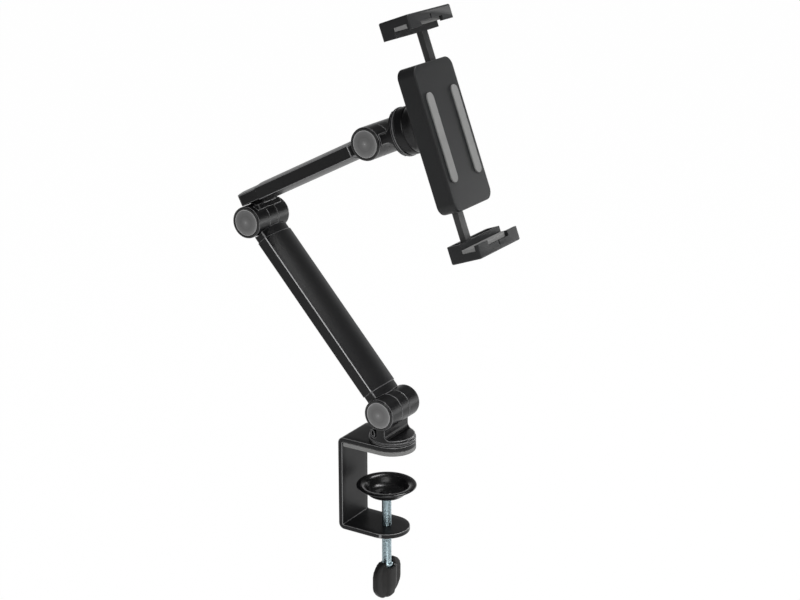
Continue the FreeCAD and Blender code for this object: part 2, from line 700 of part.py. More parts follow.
def make_housing(hub_holes):
    """The two covers that hold the rack drive, centred on the housing."""
    back = tablet_face_out - jaw_depth + jaw_front_beyond
    front = back + housing_depth
    split = front - cover_thickness
    floor = back + housing_wall
    gear_low = back + rack_lift
    gear_high = gear_low + gear_thickness
    shell = housing_block(0, back, split)
    shell = rounded(shell, housing_back_round, lambda e: e.CenterOfMass.z < back + 0.01)
    shell = shell.cut(housing_block(housing_wall, floor, split + 1))
    rack_in = pinion_radius - tooth_addendum - rack_slot_clearance
    rack_out = pinion_radius + tooth_dedendum + rack_body + rack_slot_clearance
    slots = []
    ribs = []
    cover_ribs = []
    for side in (1, -1):
        x0, x1 = sorted((side * rack_in, side * rack_out))
        y0, y1 = sorted((side * (housing_half_length - housing_wall - 1), side * (housing_half_length + 1)))
        slots.append(box(x0, x1, y0, y1, gear_low - 0.3, gear_high + 0.3))
        mid = side * (pinion_radius + tooth_dedendum + rack_body / 2)
        rib_far = housing_half_length - housing_rib_end_inset
        x0, x1 = mid - housing_rib_width / 2, mid + housing_rib_width / 2
        for half in (1, -1):
            y0, y1 = sorted((half * (rib_far - housing_rib_length), half * rib_far))
            ribs.append(box(x0, x1, y0, y1, floor - 0.5, gear_low - 0.1))
            cover_ribs.append(box(x0, x1, y0, y1, gear_high + 0.1, split + 0.5))
    boss_radius = axle_diameter / 2 + axle_boss_wall
    axle_boss = cylinder(boss_radius, (0, 0, floor - 0.5), gear_low - 0.15 - floor + 0.5)
    shell = shell.fuse(ribs + [axle_boss]).removeSplitter().cut(slots)
    axle_low = back + axle_end_inset
    axle = cylinder(axle_diameter / 2, (0, 0, axle_low), front - axle_end_inset - axle_low)
    cover = housing_block(0, split, front)
    cover = rounded(cover, housing_front_round, lambda e: e.CenterOfMass.z > front - 0.01)
    axle_rest = cylinder(boss_radius, (0, 0, gear_high + 0.15), split - gear_high)
    posts = []
    screws = []
    through = []
    pilot = []
    thread = housing_screw_diameter / 2
    hole = (housing_screw_diameter + housing_hole_clearance) / 2
    sink = housing_screw_head_height + 0.15
    post_x = housing_half_width - housing_post_side_inset
    post_y = housing_half_length - housing_post_end_inset
    for x in (-post_x, post_x):
        for y in (-post_y, post_y):
            posts.append(cylinder(housing_post_diameter / 2, (x, y, floor), split - floor + 0.5))
            pilot.append(cylinder(thread, (x, y, floor - 0.5), split - floor))
            pocket = cylinder(housing_screw_head / 2 + 0.2, (x, y, back - 1), sink + 1)
            through.append(cylinder(hole, (x, y, back - 1), housing_wall + 2).fuse(pocket))
            screw = cylinder(thread, (x, y, back + 0.4), housing_screw_length - 0.4)
            screw = screw.fuse(cylinder(housing_screw_head / 2, (x, y, back + 0.1), housing_screw_head_height))
            screws.append(screw.removeSplitter())
    cover = cover.fuse(posts + cover_ribs + [axle_rest]).removeSplitter().cut(pilot + [axle])
    for hole in hub_holes:
        moved = hole.copy()
        moved.translate(V(0, hub_above_centre, 0))
        through.append(moved)
    shell = shell.cut(through + [axle])
    pads = []
    for side in (-1, 1):
        x = side * face_pad_spacing / 2
        strip = box(x - face_pad_width / 2, x + face_pad_width / 2, -face_pad_length / 2, face_pad_length / 2,
                    front, front + face_pad_thickness)
        pads.append(rounded(strip, face_pad_width / 2 - 0.05, lambda e: runs_along(e, Z_AXIS)))
    springs = []
    outer = pinion_radius + tooth_dedendum + rack_body
    wall = housing_half_width - housing_wall
    for side in (1, -1):
        foot = side * (wall - 0.8)
        apex = side * (outer + brake_clearance)
        turn = side * brake_leaf
        ends = [V(foot, -brake_half, gear_low), V(foot, brake_half, gear_low),
                V(foot + turn, brake_half, gear_low), V(foot + turn, -brake_half, gear_low)]
        face = Part.Face(Part.Wire(Part.__sortEdges__([
            Part.Arc(ends[0], V(apex, 0, gear_low), ends[1]).toShape(),
            Part.LineSegment(ends[1], ends[2]).toShape(),
            Part.Arc(ends[2], V(apex + turn, 0, gear_low), ends[3]).toShape(),
            Part.LineSegment(ends[3], ends[0]).toShape()])))
        springs.append(face.extrude(V(0, 0, gear_thickness)))
    return {"housing_back": shell, "housing_front": cover, "housing_screws": Part.Compound(screws),
            "pinion_axle": axle, "tablet_rest_pads": Part.Compound(pads),
            "jaw_brake_springs": Part.Compound(springs)}


def make_pinion():
    """The pinion that ties the two racks together."""
    low = tablet_face_out - jaw_depth + jaw_front_beyond + rack_lift
    root = pinion_radius - tooth_dedendum
    tip = pinion_radius + tooth_addendum
    gear = cylinder(root, (0, 0, low), gear_thickness)
    teeth = []
    for count in range(pinion_teeth):
        tooth = prism([(root - 0.6, -tooth_root_half, low), (pinion_radius, -tooth_flank, low),
                       (tip, -tooth_tip_half, low), (tip, tooth_tip_half, low),
                       (pinion_radius, tooth_flank, low), (root - 0.6, tooth_root_half, low)],
                      V(0, 0, gear_thickness))
        tooth.rotate(V(0, 0, 0), Z_AXIS, count * 360.0 / pinion_teeth)
        teeth.append(tooth)
    bore = cylinder(axle_diameter / 2 + axle_clearance, (0, 0, low - 1), gear_thickness + 2)
    return {"jaw_pinion": gear.fuse(teeth).removeSplitter().cut(bore)}


def make_jaw(name, half_turn):
    """One jaw with its pad, its rack and the screws that join them, at the photographed opening."""
    back = tablet_face_out - jaw_depth + jaw_front_beyond
    front = tablet_face_out + jaw_front_beyond
    edge = tablet_width / 2
    outer = edge + jaw_pad + jaw_plate
    inner = edge - jaw_leg_inner
    half = jaw_width / 2
    tablet_back = tablet_face_out - tablet_thickness
    low = back + rack_lift
    jaw = box(-half, half, inner, outer, back, front)
    jaw = rounded(jaw, jaw_corner, lambda e: runs_along(e, Y_AXIS) and e.CenterOfMass.z < back + 1)
    jaw = rounded(jaw, jaw_edge_round,
                  lambda e: (e.CenterOfMass.y > outer - 0.01
                             or (runs_along(e, Y_AXIS) and e.CenterOfMass.z > front - 0.01)))
    mouth_back = tablet_back - jaw_leg_gap
    mouth = box(-half - 1, half + 1, inner - 1, edge + jaw_pad, mouth_back, tablet_face_out)
    window = box(-half + jaw_lip_width, half - jaw_lip_width, inner - 1, edge + jaw_pad - jaw_window_floor,
                 mouth_back, front + 1)
    lips = box(-half - 1, half + 1, inner - 1, edge - jaw_lip_overlap, mouth_back, front + 1)
    rack_side = pinion_radius + tooth_dedendum
    block_in = pinion_radius - tooth_addendum - jaw_block_wall
    block_out = rack_side + rack_body + jaw_block_wall
    pocket_low = back + jaw_wall
    pocket_high = mouth_back - jaw_wall
    pockets = [box(-half + jaw_wall, block_in, inner - 1, outer - jaw_wall, pocket_low, pocket_high),
               box(block_out, half - jaw_wall, inner - 1, outer - jaw_wall, pocket_low, pocket_high)]
    slot_top = outer - jaw_slot_drop
    mark = box(-jaw_slot_width / 2, jaw_slot_width / 2, slot_top, slot_top + jaw_slot_height,
               front - jaw_slot_depth, front + 1)
    jaw = jaw.cut([mouth, window, lips, mark] + pockets)
    tail = edge - rack_reach
    rack_end = outer - jaw_wall - jaw_socket_end
    room = jaw_socket_clearance
    socket = box(rack_side - room, rack_side + rack_body + room, inner - 1, rack_end, low - room,
                 low + gear_thickness + room)
    jaw = jaw.cut(socket)
    rack = box(rack_side, rack_side + rack_body, tail, rack_end, low, low + gear_thickness)
    teeth = []
    first = math.ceil((tail + 1.5) / pi_pitch - 0.5)
    last = math.floor(40.0 / pi_pitch - 0.5)
    for count in range(first, last + 1):
        y = (count + 0.5) * pi_pitch
        teeth.append(prism([(rack_side + 0.4, y - tooth_root_half, low),
                            (pinion_radius, y - tooth_flank, low),
                            (pinion_radius - tooth_addendum, y - tooth_tip_half, low),
                            (pinion_radius - tooth_addendum, y + tooth_tip_half, low),
                            (pinion_radius, y + tooth_flank, low),
                            (rack_side + 0.4, y + tooth_root_half, low)], V(0, 0, gear_thickness)))
    rack = rack.fuse(teeth).removeSplitter()
    screws = []
    holes = []
    radius = jaw_screw_diameter / 2
    head_radius = jaw_screw_head / 2
    x = rack_side + rack_body / 2
    for y in (inner + jaw_screw_inset, inner + jaw_screw_inset + jaw_screw_spacing):
        holes.append(cylinder(radius, (x, y, back - 1), rack_lift + 5))
        holes.append(cylinder(head_radius + 0.2, (x, y, back - 1), 1 + jaw_screw_head_sink))
        screw = cylinder(radius, (x, y, back + 0.4), rack_lift + 3.4)
        screw = screw.fuse(cylinder(head_radius, (x, y, back + 0.1), jaw_screw_head_height))
        screws.append(screw.removeSplitter())
    jaw = jaw.cut(holes)
    rack = rack.cut(holes)
    pad_half = half - jaw_pad_end_clearance
    pad = box(-pad_half, pad_half, edge, edge + jaw_pad, mouth_back + jaw_pad_clearance,
              tablet_face_out - jaw_pad_clearance)
    pieces = {name + "_jaw": jaw, name + "_jaw_pad": pad, name + "_jaw_rack": rack,
              name + "_jaw_screws": Part.Compound(screws)}
    if half_turn:
        for shape in pieces.values():
            shape.rotate(V(0, 0, 0), Z_AXIS, 180)
    return pieces


def collect(target, pieces, turn, at, shift=(0, 0, 0)):
    """Put pieces of one frame into the object's own frame."""
    for name, shape in pieces.items():
        moved = shape.copy()
        moved.translate(V(*shift))
        target[name] = placed(moved, turn, at)


def build():
    """Every piece of the object at its place."""
    parts = {}
    collect(parts, make_clamp(), 0, (0, 0, 0))
    collect(parts, make_pressure_plate(), 0, (0, 0, 0))
    collect(parts, make_clamp_screw(), 0, (0, 0, 0))

    base_axis = V(0, -swivel_offset, hinge_height)
    collect(parts, make_yoke("base", True), 0, base_axis)
    collect(parts, barrel_hardware("base"), 0, base_axis)

    lower = {"lower_arm_tube": make_tube(end_length, lower_length - end_length),
             "lower_arm_bottom_end": make_end(False), "lower_arm_bottom_bush": make_bush()}
    collect(parts, lower, -lower_lean, base_axis)
    top = {"lower_arm_top_end": make_end(True), "lower_arm_top_bush": make_bush()}
    collect(parts, top, -lower_lean, base_axis, (0, 0, lower_length))

    lean = math.radians(lower_lean)
    elbow_axis = base_axis + V(0, lower_length * math.sin(lean), lower_length * math.cos(lean))
    upper_turn = 90 - upper_rise
    collect(parts, make_elbow_yoke(), upper_turn, elbow_axis)
    collect(parts, barrel_hardware("elbow"), upper_turn, elbow_axis)
    collect(parts, make_rear_end(), upper_turn, elbow_axis)
    tube = {"upper_arm_tube": make_tube(end_length, upper_length - end_length)}
    collect(parts, tube, upper_turn, elbow_axis, (0, upper_offset, 0))
    front = {"upper_arm_front_end": make_end(True), "upper_arm_bush": make_bush()}
    collect(parts, front, upper_turn, elbow_axis, (0, upper_offset, upper_length))

    rise = math.radians(upper_rise)
    head_axis = elbow_axis + V(0, upper_offset * math.sin(rise) - upper_length * math.cos(rise),
                               upper_offset * math.cos(rise) + upper_length * math.sin(rise))
    head_turn = 90 - head_tilt
    collect(parts, make_yoke("head", False), head_turn - 180, head_axis)
    collect(parts, barrel_hardware("head"), head_turn, head_axis)
    hub, hub_holes = make_hub()
    collect(parts, hub, head_turn, head_axis)
    centre = (0, -hub_above_centre, 0)
    collect(parts, make_housing(hub_holes), head_turn, head_axis, centre)
    collect(parts, make_pinion(), head_turn, head_axis, centre)
    collect(parts, make_jaw("upper", False), head_turn, head_axis, centre)
    collect(parts, make_jaw("lower", True), head_turn, head_axis, centre)
    print("base axis", base_axis, "elbow axis", elbow_axis, "head axis", head_axis)
    return parts


os.makedirs("parts", exist_ok=True)
for node, solid in build().items():
    if solid.isValid() and solid.Volume > 0:
        print(node, len(solid.Solids), round(solid.Volume, 1))
    else:
        print("PROBLEM", node, solid.isValid(), solid.Volume)
    solid.exportStep("parts/" + node + ".step")
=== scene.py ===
import math

import bmesh
import bpy
import numpy as np
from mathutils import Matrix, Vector
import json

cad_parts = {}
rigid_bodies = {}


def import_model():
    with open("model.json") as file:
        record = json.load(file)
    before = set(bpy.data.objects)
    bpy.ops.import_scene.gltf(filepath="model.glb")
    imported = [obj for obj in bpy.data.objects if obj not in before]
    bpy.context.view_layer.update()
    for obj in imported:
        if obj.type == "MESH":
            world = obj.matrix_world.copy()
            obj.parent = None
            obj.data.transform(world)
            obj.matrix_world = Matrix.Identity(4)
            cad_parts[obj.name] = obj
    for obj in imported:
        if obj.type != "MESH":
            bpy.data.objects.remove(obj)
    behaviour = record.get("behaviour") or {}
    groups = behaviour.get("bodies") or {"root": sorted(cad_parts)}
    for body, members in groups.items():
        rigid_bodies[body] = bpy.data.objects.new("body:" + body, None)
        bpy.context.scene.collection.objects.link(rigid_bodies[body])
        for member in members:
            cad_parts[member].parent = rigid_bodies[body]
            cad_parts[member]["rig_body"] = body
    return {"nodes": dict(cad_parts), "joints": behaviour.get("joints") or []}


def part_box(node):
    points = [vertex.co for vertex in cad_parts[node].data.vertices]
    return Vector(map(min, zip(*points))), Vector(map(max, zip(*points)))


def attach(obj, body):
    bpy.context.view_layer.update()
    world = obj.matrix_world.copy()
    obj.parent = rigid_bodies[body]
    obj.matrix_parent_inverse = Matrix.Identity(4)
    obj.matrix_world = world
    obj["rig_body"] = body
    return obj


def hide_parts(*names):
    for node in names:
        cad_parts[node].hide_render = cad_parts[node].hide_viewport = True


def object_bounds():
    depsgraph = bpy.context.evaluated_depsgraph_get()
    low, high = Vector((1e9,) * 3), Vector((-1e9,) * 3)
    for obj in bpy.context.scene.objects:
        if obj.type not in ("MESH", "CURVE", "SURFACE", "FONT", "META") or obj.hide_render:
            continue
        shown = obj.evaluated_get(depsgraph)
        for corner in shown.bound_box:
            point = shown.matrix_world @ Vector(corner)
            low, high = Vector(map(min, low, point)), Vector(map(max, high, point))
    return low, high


# Clamp-on tablet holder, dressed section by section in the order in which it is put together.
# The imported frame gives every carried-over part its place. Lengths are metres, and mm is a millimetre.
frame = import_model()
cad_low, cad_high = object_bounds()
mm = 0.001


# Studio: the camera stands to the left of the holder and a little above it, as in the photograph.
# The sweep and the world show white to the camera, and the object keeps a soft light of plain level.
camera_azimuth = math.radians(-58.2)
camera_elevation = math.radians(18.4)
camera_aim = np.array([-0.0731, -0.0584, 0.1573])
camera_distance = 1.3
camera_lens = 78.75
floor_gap = 0.11
floor_reach = 4.0
sweep_white = (1.0, 1.0, 1.0, 1.0)
floor_paint = (0.92, 0.92, 0.92, 1.0)
lamp_aim = (0.0, 0.04, 0.17)
room_grey = 0.36
room_dark = 0.05
room_bright = 0.9
room_by_height = ((0.0, 0.0, 1.0), 0.45, 0.10)
room_by_side = ((0.924, 0.383, 0.0), 0.6, 0.86)
floor_camera_share = 0.99
floor_dark_share = 0.07
floor_bright_share = 0.5
floor_ramp = (-0.1, 0.5)
lamps = [
    ("lamp_left", (-1.2, -1.0, 1.25), 1.2, 17.0),
    ("lamp_top", (0.5, -0.5, 1.7), 1.0, 26.0),
    ("lamp_right", (1.6, -0.8, -0.05), 0.8, 7.0)]


def back_vector(azimuth, elevation):
    """The unit vector from the aim to the camera, with azimuth 0 looking along +Y."""
    flat = math.cos(elevation)
    return np.array([math.sin(azimuth) * flat, -math.cos(azimuth) * flat, math.sin(elevation)])


def look_at(thing, place, target):
    """Puts a camera or a lamp at a place and points its -Z axis at a target."""
    thing.location = Vector(place)
    thing.rotation_euler = (Vector(target) - Vector(place)).to_track_quat("-Z", "Y").to_euler()


def add_camera():
    """The photograph's view: focal length 1750 pixels on a frame 800 pixels wide."""
    data = bpy.data.cameras.new("camera")
    data.lens = camera_lens
    data.sensor_width = 36.0
    data.sensor_fit = "HORIZONTAL"
    data.clip_start = 0.05
    data.clip_end = 50.0
    camera = bpy.data.objects.new("camera", data)
    bpy.context.scene.collection.objects.link(camera)
    place = camera_aim + back_vector(camera_azimuth, camera_elevation) * camera_distance
    look_at(camera, place, camera_aim)
    bpy.context.scene.camera = camera


def add_lamps():
    """Large soft lamps round the object."""
    for name, place, size, power in lamps:
        data = bpy.data.lights.new(name, "AREA")
        data.shape = "DISK"
        data.size = size
        data.energy = power
        lamp = bpy.data.objects.new(name, data)
        bpy.context.scene.collection.objects.link(lamp)
        look_at(lamp, place, lamp_aim)


def feed(tree, socket, value):
    """Links an input to another node's output, or sets it to a plain value."""
    if isinstance(value, bpy.types.NodeSocket):
        tree.links.new(value, socket)
    else:
        socket.default_value = value


def calculate(tree, operation, *values):
    """A Math node of one operation."""
    node = tree.nodes.new("ShaderNodeMath")
    node.operation = operation
    for socket, value in zip(node.inputs, values):
        feed(tree, socket, value)
    return node.outputs[0]


def on_vectors(tree, operation, *values):
    """A Vector Math node of one operation. With SCALE the second value is the factor."""
    node = tree.nodes.new("ShaderNodeVectorMath")
    node.operation = operation
    sockets = (node.inputs[0], node.inputs["Scale"]) if operation == "SCALE" else node.inputs
    for socket, value in zip(sockets, values):
        feed(tree, socket, value)
    return node.outputs["Value" if operation in ("DOT_PRODUCT", "LENGTH") else "Vector"]


def ramp(tree, value, start, end, low=0.0, high=1.0, smooth=False):
    """A Map Range node: from start to end the result goes from low to high."""
    node = tree.nodes.new("ShaderNodeMapRange")
    if smooth:
        node.interpolation_type = "SMOOTHSTEP"
    for label, setting in (("Value", value), ("From Min", start), ("From Max", end),
                           ("To Min", low), ("To Max", high)):
        feed(tree, node.inputs[label], setting)
    return node.outputs["Result"]


def blend(tree, share, first, second):
    """A Mix node of two numbers."""
    node = tree.nodes.new("ShaderNodeMix")
    for label, setting in (("Factor", share), ("A", first), ("B", second)):
        feed(tree, node.inputs[label], setting)
    return node.outputs["Result"]


def add_world():
    """White for the camera. Reflections see a dim room that brightens low down behind the holder."""
    world = bpy.data.worlds.new("studio")
    bpy.context.scene.world = world
    world.use_nodes = True
    tree = world.node_tree
    tree.nodes.clear()
    out = tree.nodes.new("ShaderNodeOutputWorld")
    background = tree.nodes.new("ShaderNodeBackground")
    rays = tree.nodes.new("ShaderNodeLightPath").outputs
    direction = tree.nodes.new("ShaderNodeTexCoord").outputs["Generated"]
    low_down, behind = [
        ramp(tree, on_vectors(tree, "DOT_PRODUCT", direction, way), start, end, smooth=True)
        for way, start, end in (room_by_height, room_by_side)]
    lit = calculate(tree, "MULTIPLY", low_down, behind)
    level = calculate(tree, "MULTIPLY_ADD", lit, room_bright - room_dark, room_dark)
    room = blend(tree, rays["Is Glossy Ray"], room_grey, level)
    shown = calculate(tree, "MAXIMUM", rays["Is Camera Ray"], rays["Is Transmission Ray"])
    feed(tree, background.inputs["Strength"], blend(tree, shown, room, 1.0))
    background.inputs["Color"].default_value = sweep_white
    feed(tree, out.inputs["Surface"], background.outputs[0])


def add_floor():
    """A pale floor well below the clamp, white to the camera where no shadow falls. Its mirror image
    brightens towards the right."""
    material = bpy.data.materials.new("pale_floor")
    material.use_nodes = True
    tree = material.node_tree
    tree.nodes.clear()
    out = tree.nodes.new("ShaderNodeOutputMaterial")
    paint = tree.nodes.new("ShaderNodeBsdfDiffuse")
    paint.inputs["Color"].default_value = floor_paint
    glow = tree.nodes.new("ShaderNodeEmission")
    glow.inputs["Color"].default_value = sweep_white
    rays = tree.nodes.new("ShaderNodeLightPath").outputs
    side = tree.nodes.new("ShaderNodeSeparateXYZ")
    feed(tree, side.inputs[0], tree.nodes.new("ShaderNodeTexCoord").outputs["Object"])
    level = ramp(tree, side.outputs["X"], *floor_ramp, floor_dark_share, floor_bright_share, smooth=True)
    mirrored = calculate(tree, "MULTIPLY", rays["Is Glossy Ray"], level)
    share = calculate(tree, "MULTIPLY_ADD", rays["Is Camera Ray"], floor_camera_share, mirrored)
    mix = tree.nodes.new("ShaderNodeMixShader")
    for socket, source in zip(mix.inputs, (share, paint.outputs[0], glow.outputs[0])):
        feed(tree, socket, source)
    feed(tree, out.inputs["Surface"], mix.outputs[0])
    height = cad_low.z - floor_gap
    corners = [(x * floor_reach, y * floor_reach, height) for x, y in ((-1, -1), (1, -1), (1, 1), (-1, 1))]
    mesh = bpy.data.meshes.new("floor")
    mesh.from_pydata(corners, [], [(0, 1, 2, 3)])
    mesh.materials.append(material)
    floor = bpy.data.objects.new("floor", mesh)
    bpy.context.scene.collection.objects.link(floor)


bpy.context.scene.view_settings.view_transform = "Standard"
add_camera()
add_lamps()
add_world()
add_floor()


# Clamp bracket: one strip of 4 mm steel, cut flat with half-round ends, then bent twice into a C and
# powder coated satin black. The pad and the swivelling base sit on its upper leg.
strip_half = 19.5 * mm
strip_thick = 4.0 * mm
strip_edge = 0.7 * mm
bend_middle = 3.2 * mm
leg_top_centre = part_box("clamp_bracket")[1].z - strip_thick / 2
leg_low_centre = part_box("clamp_bracket")[0].z + strip_thick / 2
wall_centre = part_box("clamp_bracket")[1].y - strip_thick / 2
top_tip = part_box("clamp_bracket")[0].y
low_tip = -strip_half
coat_black = (0.010, 0.010, 0.0105, 1.0)
# The grey of the painted highlight on the bracket's edges and inner bends.
strip_highlight_grey = (0.19, 0.19, 0.193, 1.0)
cloud_scale = 38.0


def new_group(name, inputs, outputs):
    """An empty shader node group with named sockets. Each input is (name, kind, default). Gives the
    group, what is given to it inside and what it has to make."""
    tree = bpy.data.node_groups.new(name, "ShaderNodeTree")
    for label, kind, default in inputs:
        socket = tree.interface.new_socket(name=label, in_out="INPUT", socket_type="NodeSocket" + kind)
        if default is not None:
            socket.default_value = default
    for label, kind in outputs:
        tree.interface.new_socket(name=label, in_out="OUTPUT", socket_type="NodeSocket" + kind)
    return tree, tree.nodes.new("NodeGroupInput").outputs, tree.nodes.new("NodeGroupOutput").inputs


def noise(tree, place, scale, detail, dimensions="3D"):
    """A Noise Texture node's factor, from a point in space or, in 1D, from a distance."""
    node = tree.nodes.new("ShaderNodeTexNoise")
    node.noise_dimensions = dimensions
    for label, setting in (("W" if dimensions == "1D" else "Vector", place), ("Scale", scale),
                           ("Detail", detail)):
        feed(tree, node.inputs[label], setting)
    return node.outputs["Fac"]


def make_grain_group():
    """Fine grain of a coat or a moulding: even bumps, and slow drifts of colour and roughness."""
    tree, given, made = new_group(
        "fine_grain",
        [("Vector", "Vector", None), ("Colour", "Color", (0.1, 0.1, 0.1, 1.0)),
         ("Roughness", "Float", 0.4), ("Grain Scale", "Float", 1500.0), ("Drift", "Float", 0.15)],
        [("Colour", "Color"), ("Roughness", "Float"), ("Height", "Float")])
    clouds = calculate(tree, "SUBTRACT", noise(tree, given["Vector"], cloud_scale, 4.0), 0.5)
    level = calculate(tree, "MULTIPLY_ADD", clouds, given["Drift"], 1.0)
    feed(tree, made["Colour"], on_vectors(tree, "SCALE", given["Colour"], level))
    feed(tree, made["Roughness"], calculate(tree, "MULTIPLY", given["Roughness"], level))
    feed(tree, made["Height"], noise(tree, given["Vector"], given["Grain Scale"], 2.0))
    return tree


fine_grain = make_grain_group()


def start_material(name):
    """A material, its nodes, its shader and a Mapping node on Object coordinates."""
    material = bpy.data.materials.new(name)
    material.use_nodes = True
    tree = material.node_tree
    mapping = tree.nodes.new("ShaderNodeMapping")
    feed(tree, mapping.inputs["Vector"], tree.nodes.new("ShaderNodeTexCoord").outputs["Object"])
    return material, tree, tree.nodes["Principled BSDF"], mapping


def place_group(tree, group, mapping, **settings):
    """A node group placed in a material, on its mapping and with its own values."""
    node = tree.nodes.new("ShaderNodeGroup")
    node.node_tree = group
    feed(tree, node.inputs["Vector"], mapping.outputs["Vector"])
    for label, setting in settings.items():
        feed(tree, node.inputs[label.replace("_", " ").title()], setting)
    return node.outputs


def add_bump(tree, shader, height, depth):
    """A Bump node of a real depth in metres, fed by a height from 0 to 1."""
    bump = tree.nodes.new("ShaderNodeBump")
    for label, setting in (("Strength", 1.0), ("Distance", depth), ("Height", height)):
        feed(tree, bump.inputs[label], setting)
    feed(tree, shader.inputs["Normal"], bump.outputs["Normal"])


def grained(name, colour, roughness, grain=1500.0, depth=0.02 * mm, drift=0.15, specular=0.5,
            metallic=0.0):
    """A coat, a moulding or a plating with fine grain."""
    material, tree, shader, mapping = start_material(name)
    made = place_group(tree, fine_grain, mapping, colour=colour, roughness=roughness, grain_scale=grain,
                       drift=drift)
    feed(tree, shader.inputs["Base Color"], made["Colour"])
    feed(tree, shader.inputs["Roughness"], made["Roughness"])
    add_bump(tree, shader, made["Height"], depth)
    shader.inputs["Metallic"].default_value = metallic
    shader.inputs["Specular IOR Level"].default_value = specular
    return material


def brighten_edges(piece, material, rule):
    """Gives a second, lighter material to the faces that a rule picks by their normal and centre: a painted
    highlight, which shows as light lines along edges and corners."""
    piece.data.materials.append(material)
    for face in piece.data.polygons:
        if rule(face.normal, face.center):
            face.material_index = 1


def build_piece(name, grids, material, body, nodes, crease=32.0):
    """One piece from grids of points (rows, columns, xyz). Neighbouring points are joined by quads,
    points that meet are merged, so seams and poles close, and faces are turned outwards."""
    points, faces, start = [], [], 0
    for grid in grids:
        rows, columns = grid.shape[:2]
        index = start + np.arange(rows * columns).reshape(rows, columns)
        quads = np.stack([index[:-1, :-1], index[1:, :-1], index[1:, 1:], index[:-1, 1:]], axis=-1)
        points.append(grid.reshape(-1, 3))
        faces.append(quads.reshape(-1, 4))
        start += rows * columns
    mesh = bpy.data.meshes.new(name)
    mesh.from_pydata(np.concatenate(points).tolist(), [], np.concatenate(faces).tolist())
    close_and_smooth(mesh, crease)
    return finish_piece(name, mesh, material, body, nodes)


def close_and_smooth(mesh, crease):
    """Merges points that meet, turns the faces outwards and smooths all but the sharper edges."""
    work = bmesh.new()
    work.from_mesh(mesh)
    bmesh.ops.remove_doubles(work, verts=work.verts, dist=0.0015 * mm)
    bmesh.ops.dissolve_degenerate(work, edges=work.edges, dist=0.0005 * mm)
    bmesh.ops.recalc_face_normals(work, faces=work.faces)
    work.to_mesh(mesh)
    work.free()
    mesh.shade_smooth()
    mesh.set_sharp_from_angle(angle=math.radians(crease))


def finish_piece(name, mesh, material, body, nodes):
    """Links a mesh as an object that rides on a body and stands for CAD nodes."""
    piece = bpy.data.objects.new(name, mesh)
    bpy.context.scene.collection.objects.link(piece)
    mesh.materials.append(material)
    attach(piece, body)
    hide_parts(*nodes)
    return piece


def round_corners(outline, radius, steps=4, closed=True):
    """Each corner becomes a parabola that touches both of its sides at the radius from the corner."""
    corner = np.asarray(outline, float)
    before = np.roll(corner, 1, axis=0) - corner
    after = np.roll(corner, -1, axis=0) - corner
    length_before = np.linalg.norm(before, axis=1)
    length_after = np.linalg.norm(after, axis=1)
    reach = np.minimum(np.broadcast_to(radius, len(corner)), 0.5 * np.minimum(length_before, length_after))
    if not closed:
        reach = reach * np.r_[0.0, np.ones(len(corner) - 2), 0.0]
    first = corner + before * (reach / length_before)[:, None]
    last = corner + after * (reach / length_after)[:, None]
    t = np.linspace(0.0, 1.0, steps + 1)[None, :, None]
    curve = (1 - t) ** 2 * first[:, None] + 2 * t * (1 - t) * corner[:, None] + t ** 2 * last[:, None]
    return curve.reshape(-1, corner.shape[1])


def bent_strip():
    """The flat strip as a grid: stations along it, and columns once round its section. At an end the
    stations follow a half circle. Then the strip is wrapped round the C: straight, arc, straight."""
    turn = np.linspace(0.0, math.pi / 2, 15)
    top_leg = wall_centre - bend_middle - top_tip
    low_leg = wall_centre - bend_middle - low_tip
    height = leg_top_centre - leg_low_centre - 2 * bend_middle
    arc = bend_middle * math.pi / 2
    total = top_leg + arc + height + arc + low_leg
    marks = np.cumsum([top_leg, arc, height, arc])
    middle = np.concatenate([np.linspace(strip_half, marks[0], 8), np.linspace(marks[0], marks[1], 10)[1:],
                             np.linspace(marks[1], marks[2], 8)[1:], np.linspace(marks[2], marks[3], 10)[1:],
                             np.linspace(marks[3], total - strip_half, 8)[1:]])
    half_thick = strip_thick / 2
    quarter = np.linspace(0.0, math.pi / 2, 5)
    inset = strip_edge * (1 - np.sin(quarter))
    drop = strip_edge * (1 - np.cos(quarter))
    across = np.linspace(-1.0, 1.0, 7)
    edge = np.concatenate([inset, inset[::-1]])
    rise = np.concatenate([half_thick - drop, -half_thick + drop[::-1]])
    face, side = np.ones(len(across)), np.ones(len(edge))
    column_inset = np.concatenate([face * strip_edge, edge, face * strip_edge, edge])
    column_across = np.concatenate([across, side, -across, -side])
    column_rise = np.concatenate([face * half_thick, rise, face * -half_thick, -rise])
    column_inset, column_across, column_rise = (
        np.append(c, c[0]) for c in (column_inset, column_across, column_rise))
    reach = strip_half - column_inset[None, :]
    head_s = strip_half - reach * np.cos(turn)[:, None]
    head_w = reach * np.sin(turn)[:, None]
    tail_s = total - head_s[::-1]
    mid_s = np.broadcast_to(middle[1:-1, None], (len(middle) - 2, len(column_inset)))
    mid_w = np.broadcast_to(reach, mid_s.shape)
    s = np.concatenate([head_s, mid_s, tail_s])
    x = np.concatenate([head_w, mid_w, head_w[::-1]]) * column_across[None, :]
    up = np.broadcast_to(column_rise[None, :], s.shape)
    first = np.clip((s - marks[0]) / arc, 0, 1) * math.pi / 2
    second = np.clip((s - marks[2]) / arc, 0, 1) * math.pi / 2
    lean = first + second
    flat_top = np.minimum(s, marks[0])
    down = np.clip(s - marks[1], 0, height)
    flat_low = np.maximum(s - marks[3], 0)
    y = top_tip + flat_top + bend_middle * (np.sin(first) + np.cos(second) - 1) - flat_low
    z = leg_top_centre - bend_middle * (1 - np.cos(first)) - down - bend_middle * np.sin(second)
    return np.stack([x, y + up * np.sin(lean), z + up * np.cos(lean)], axis=-1)


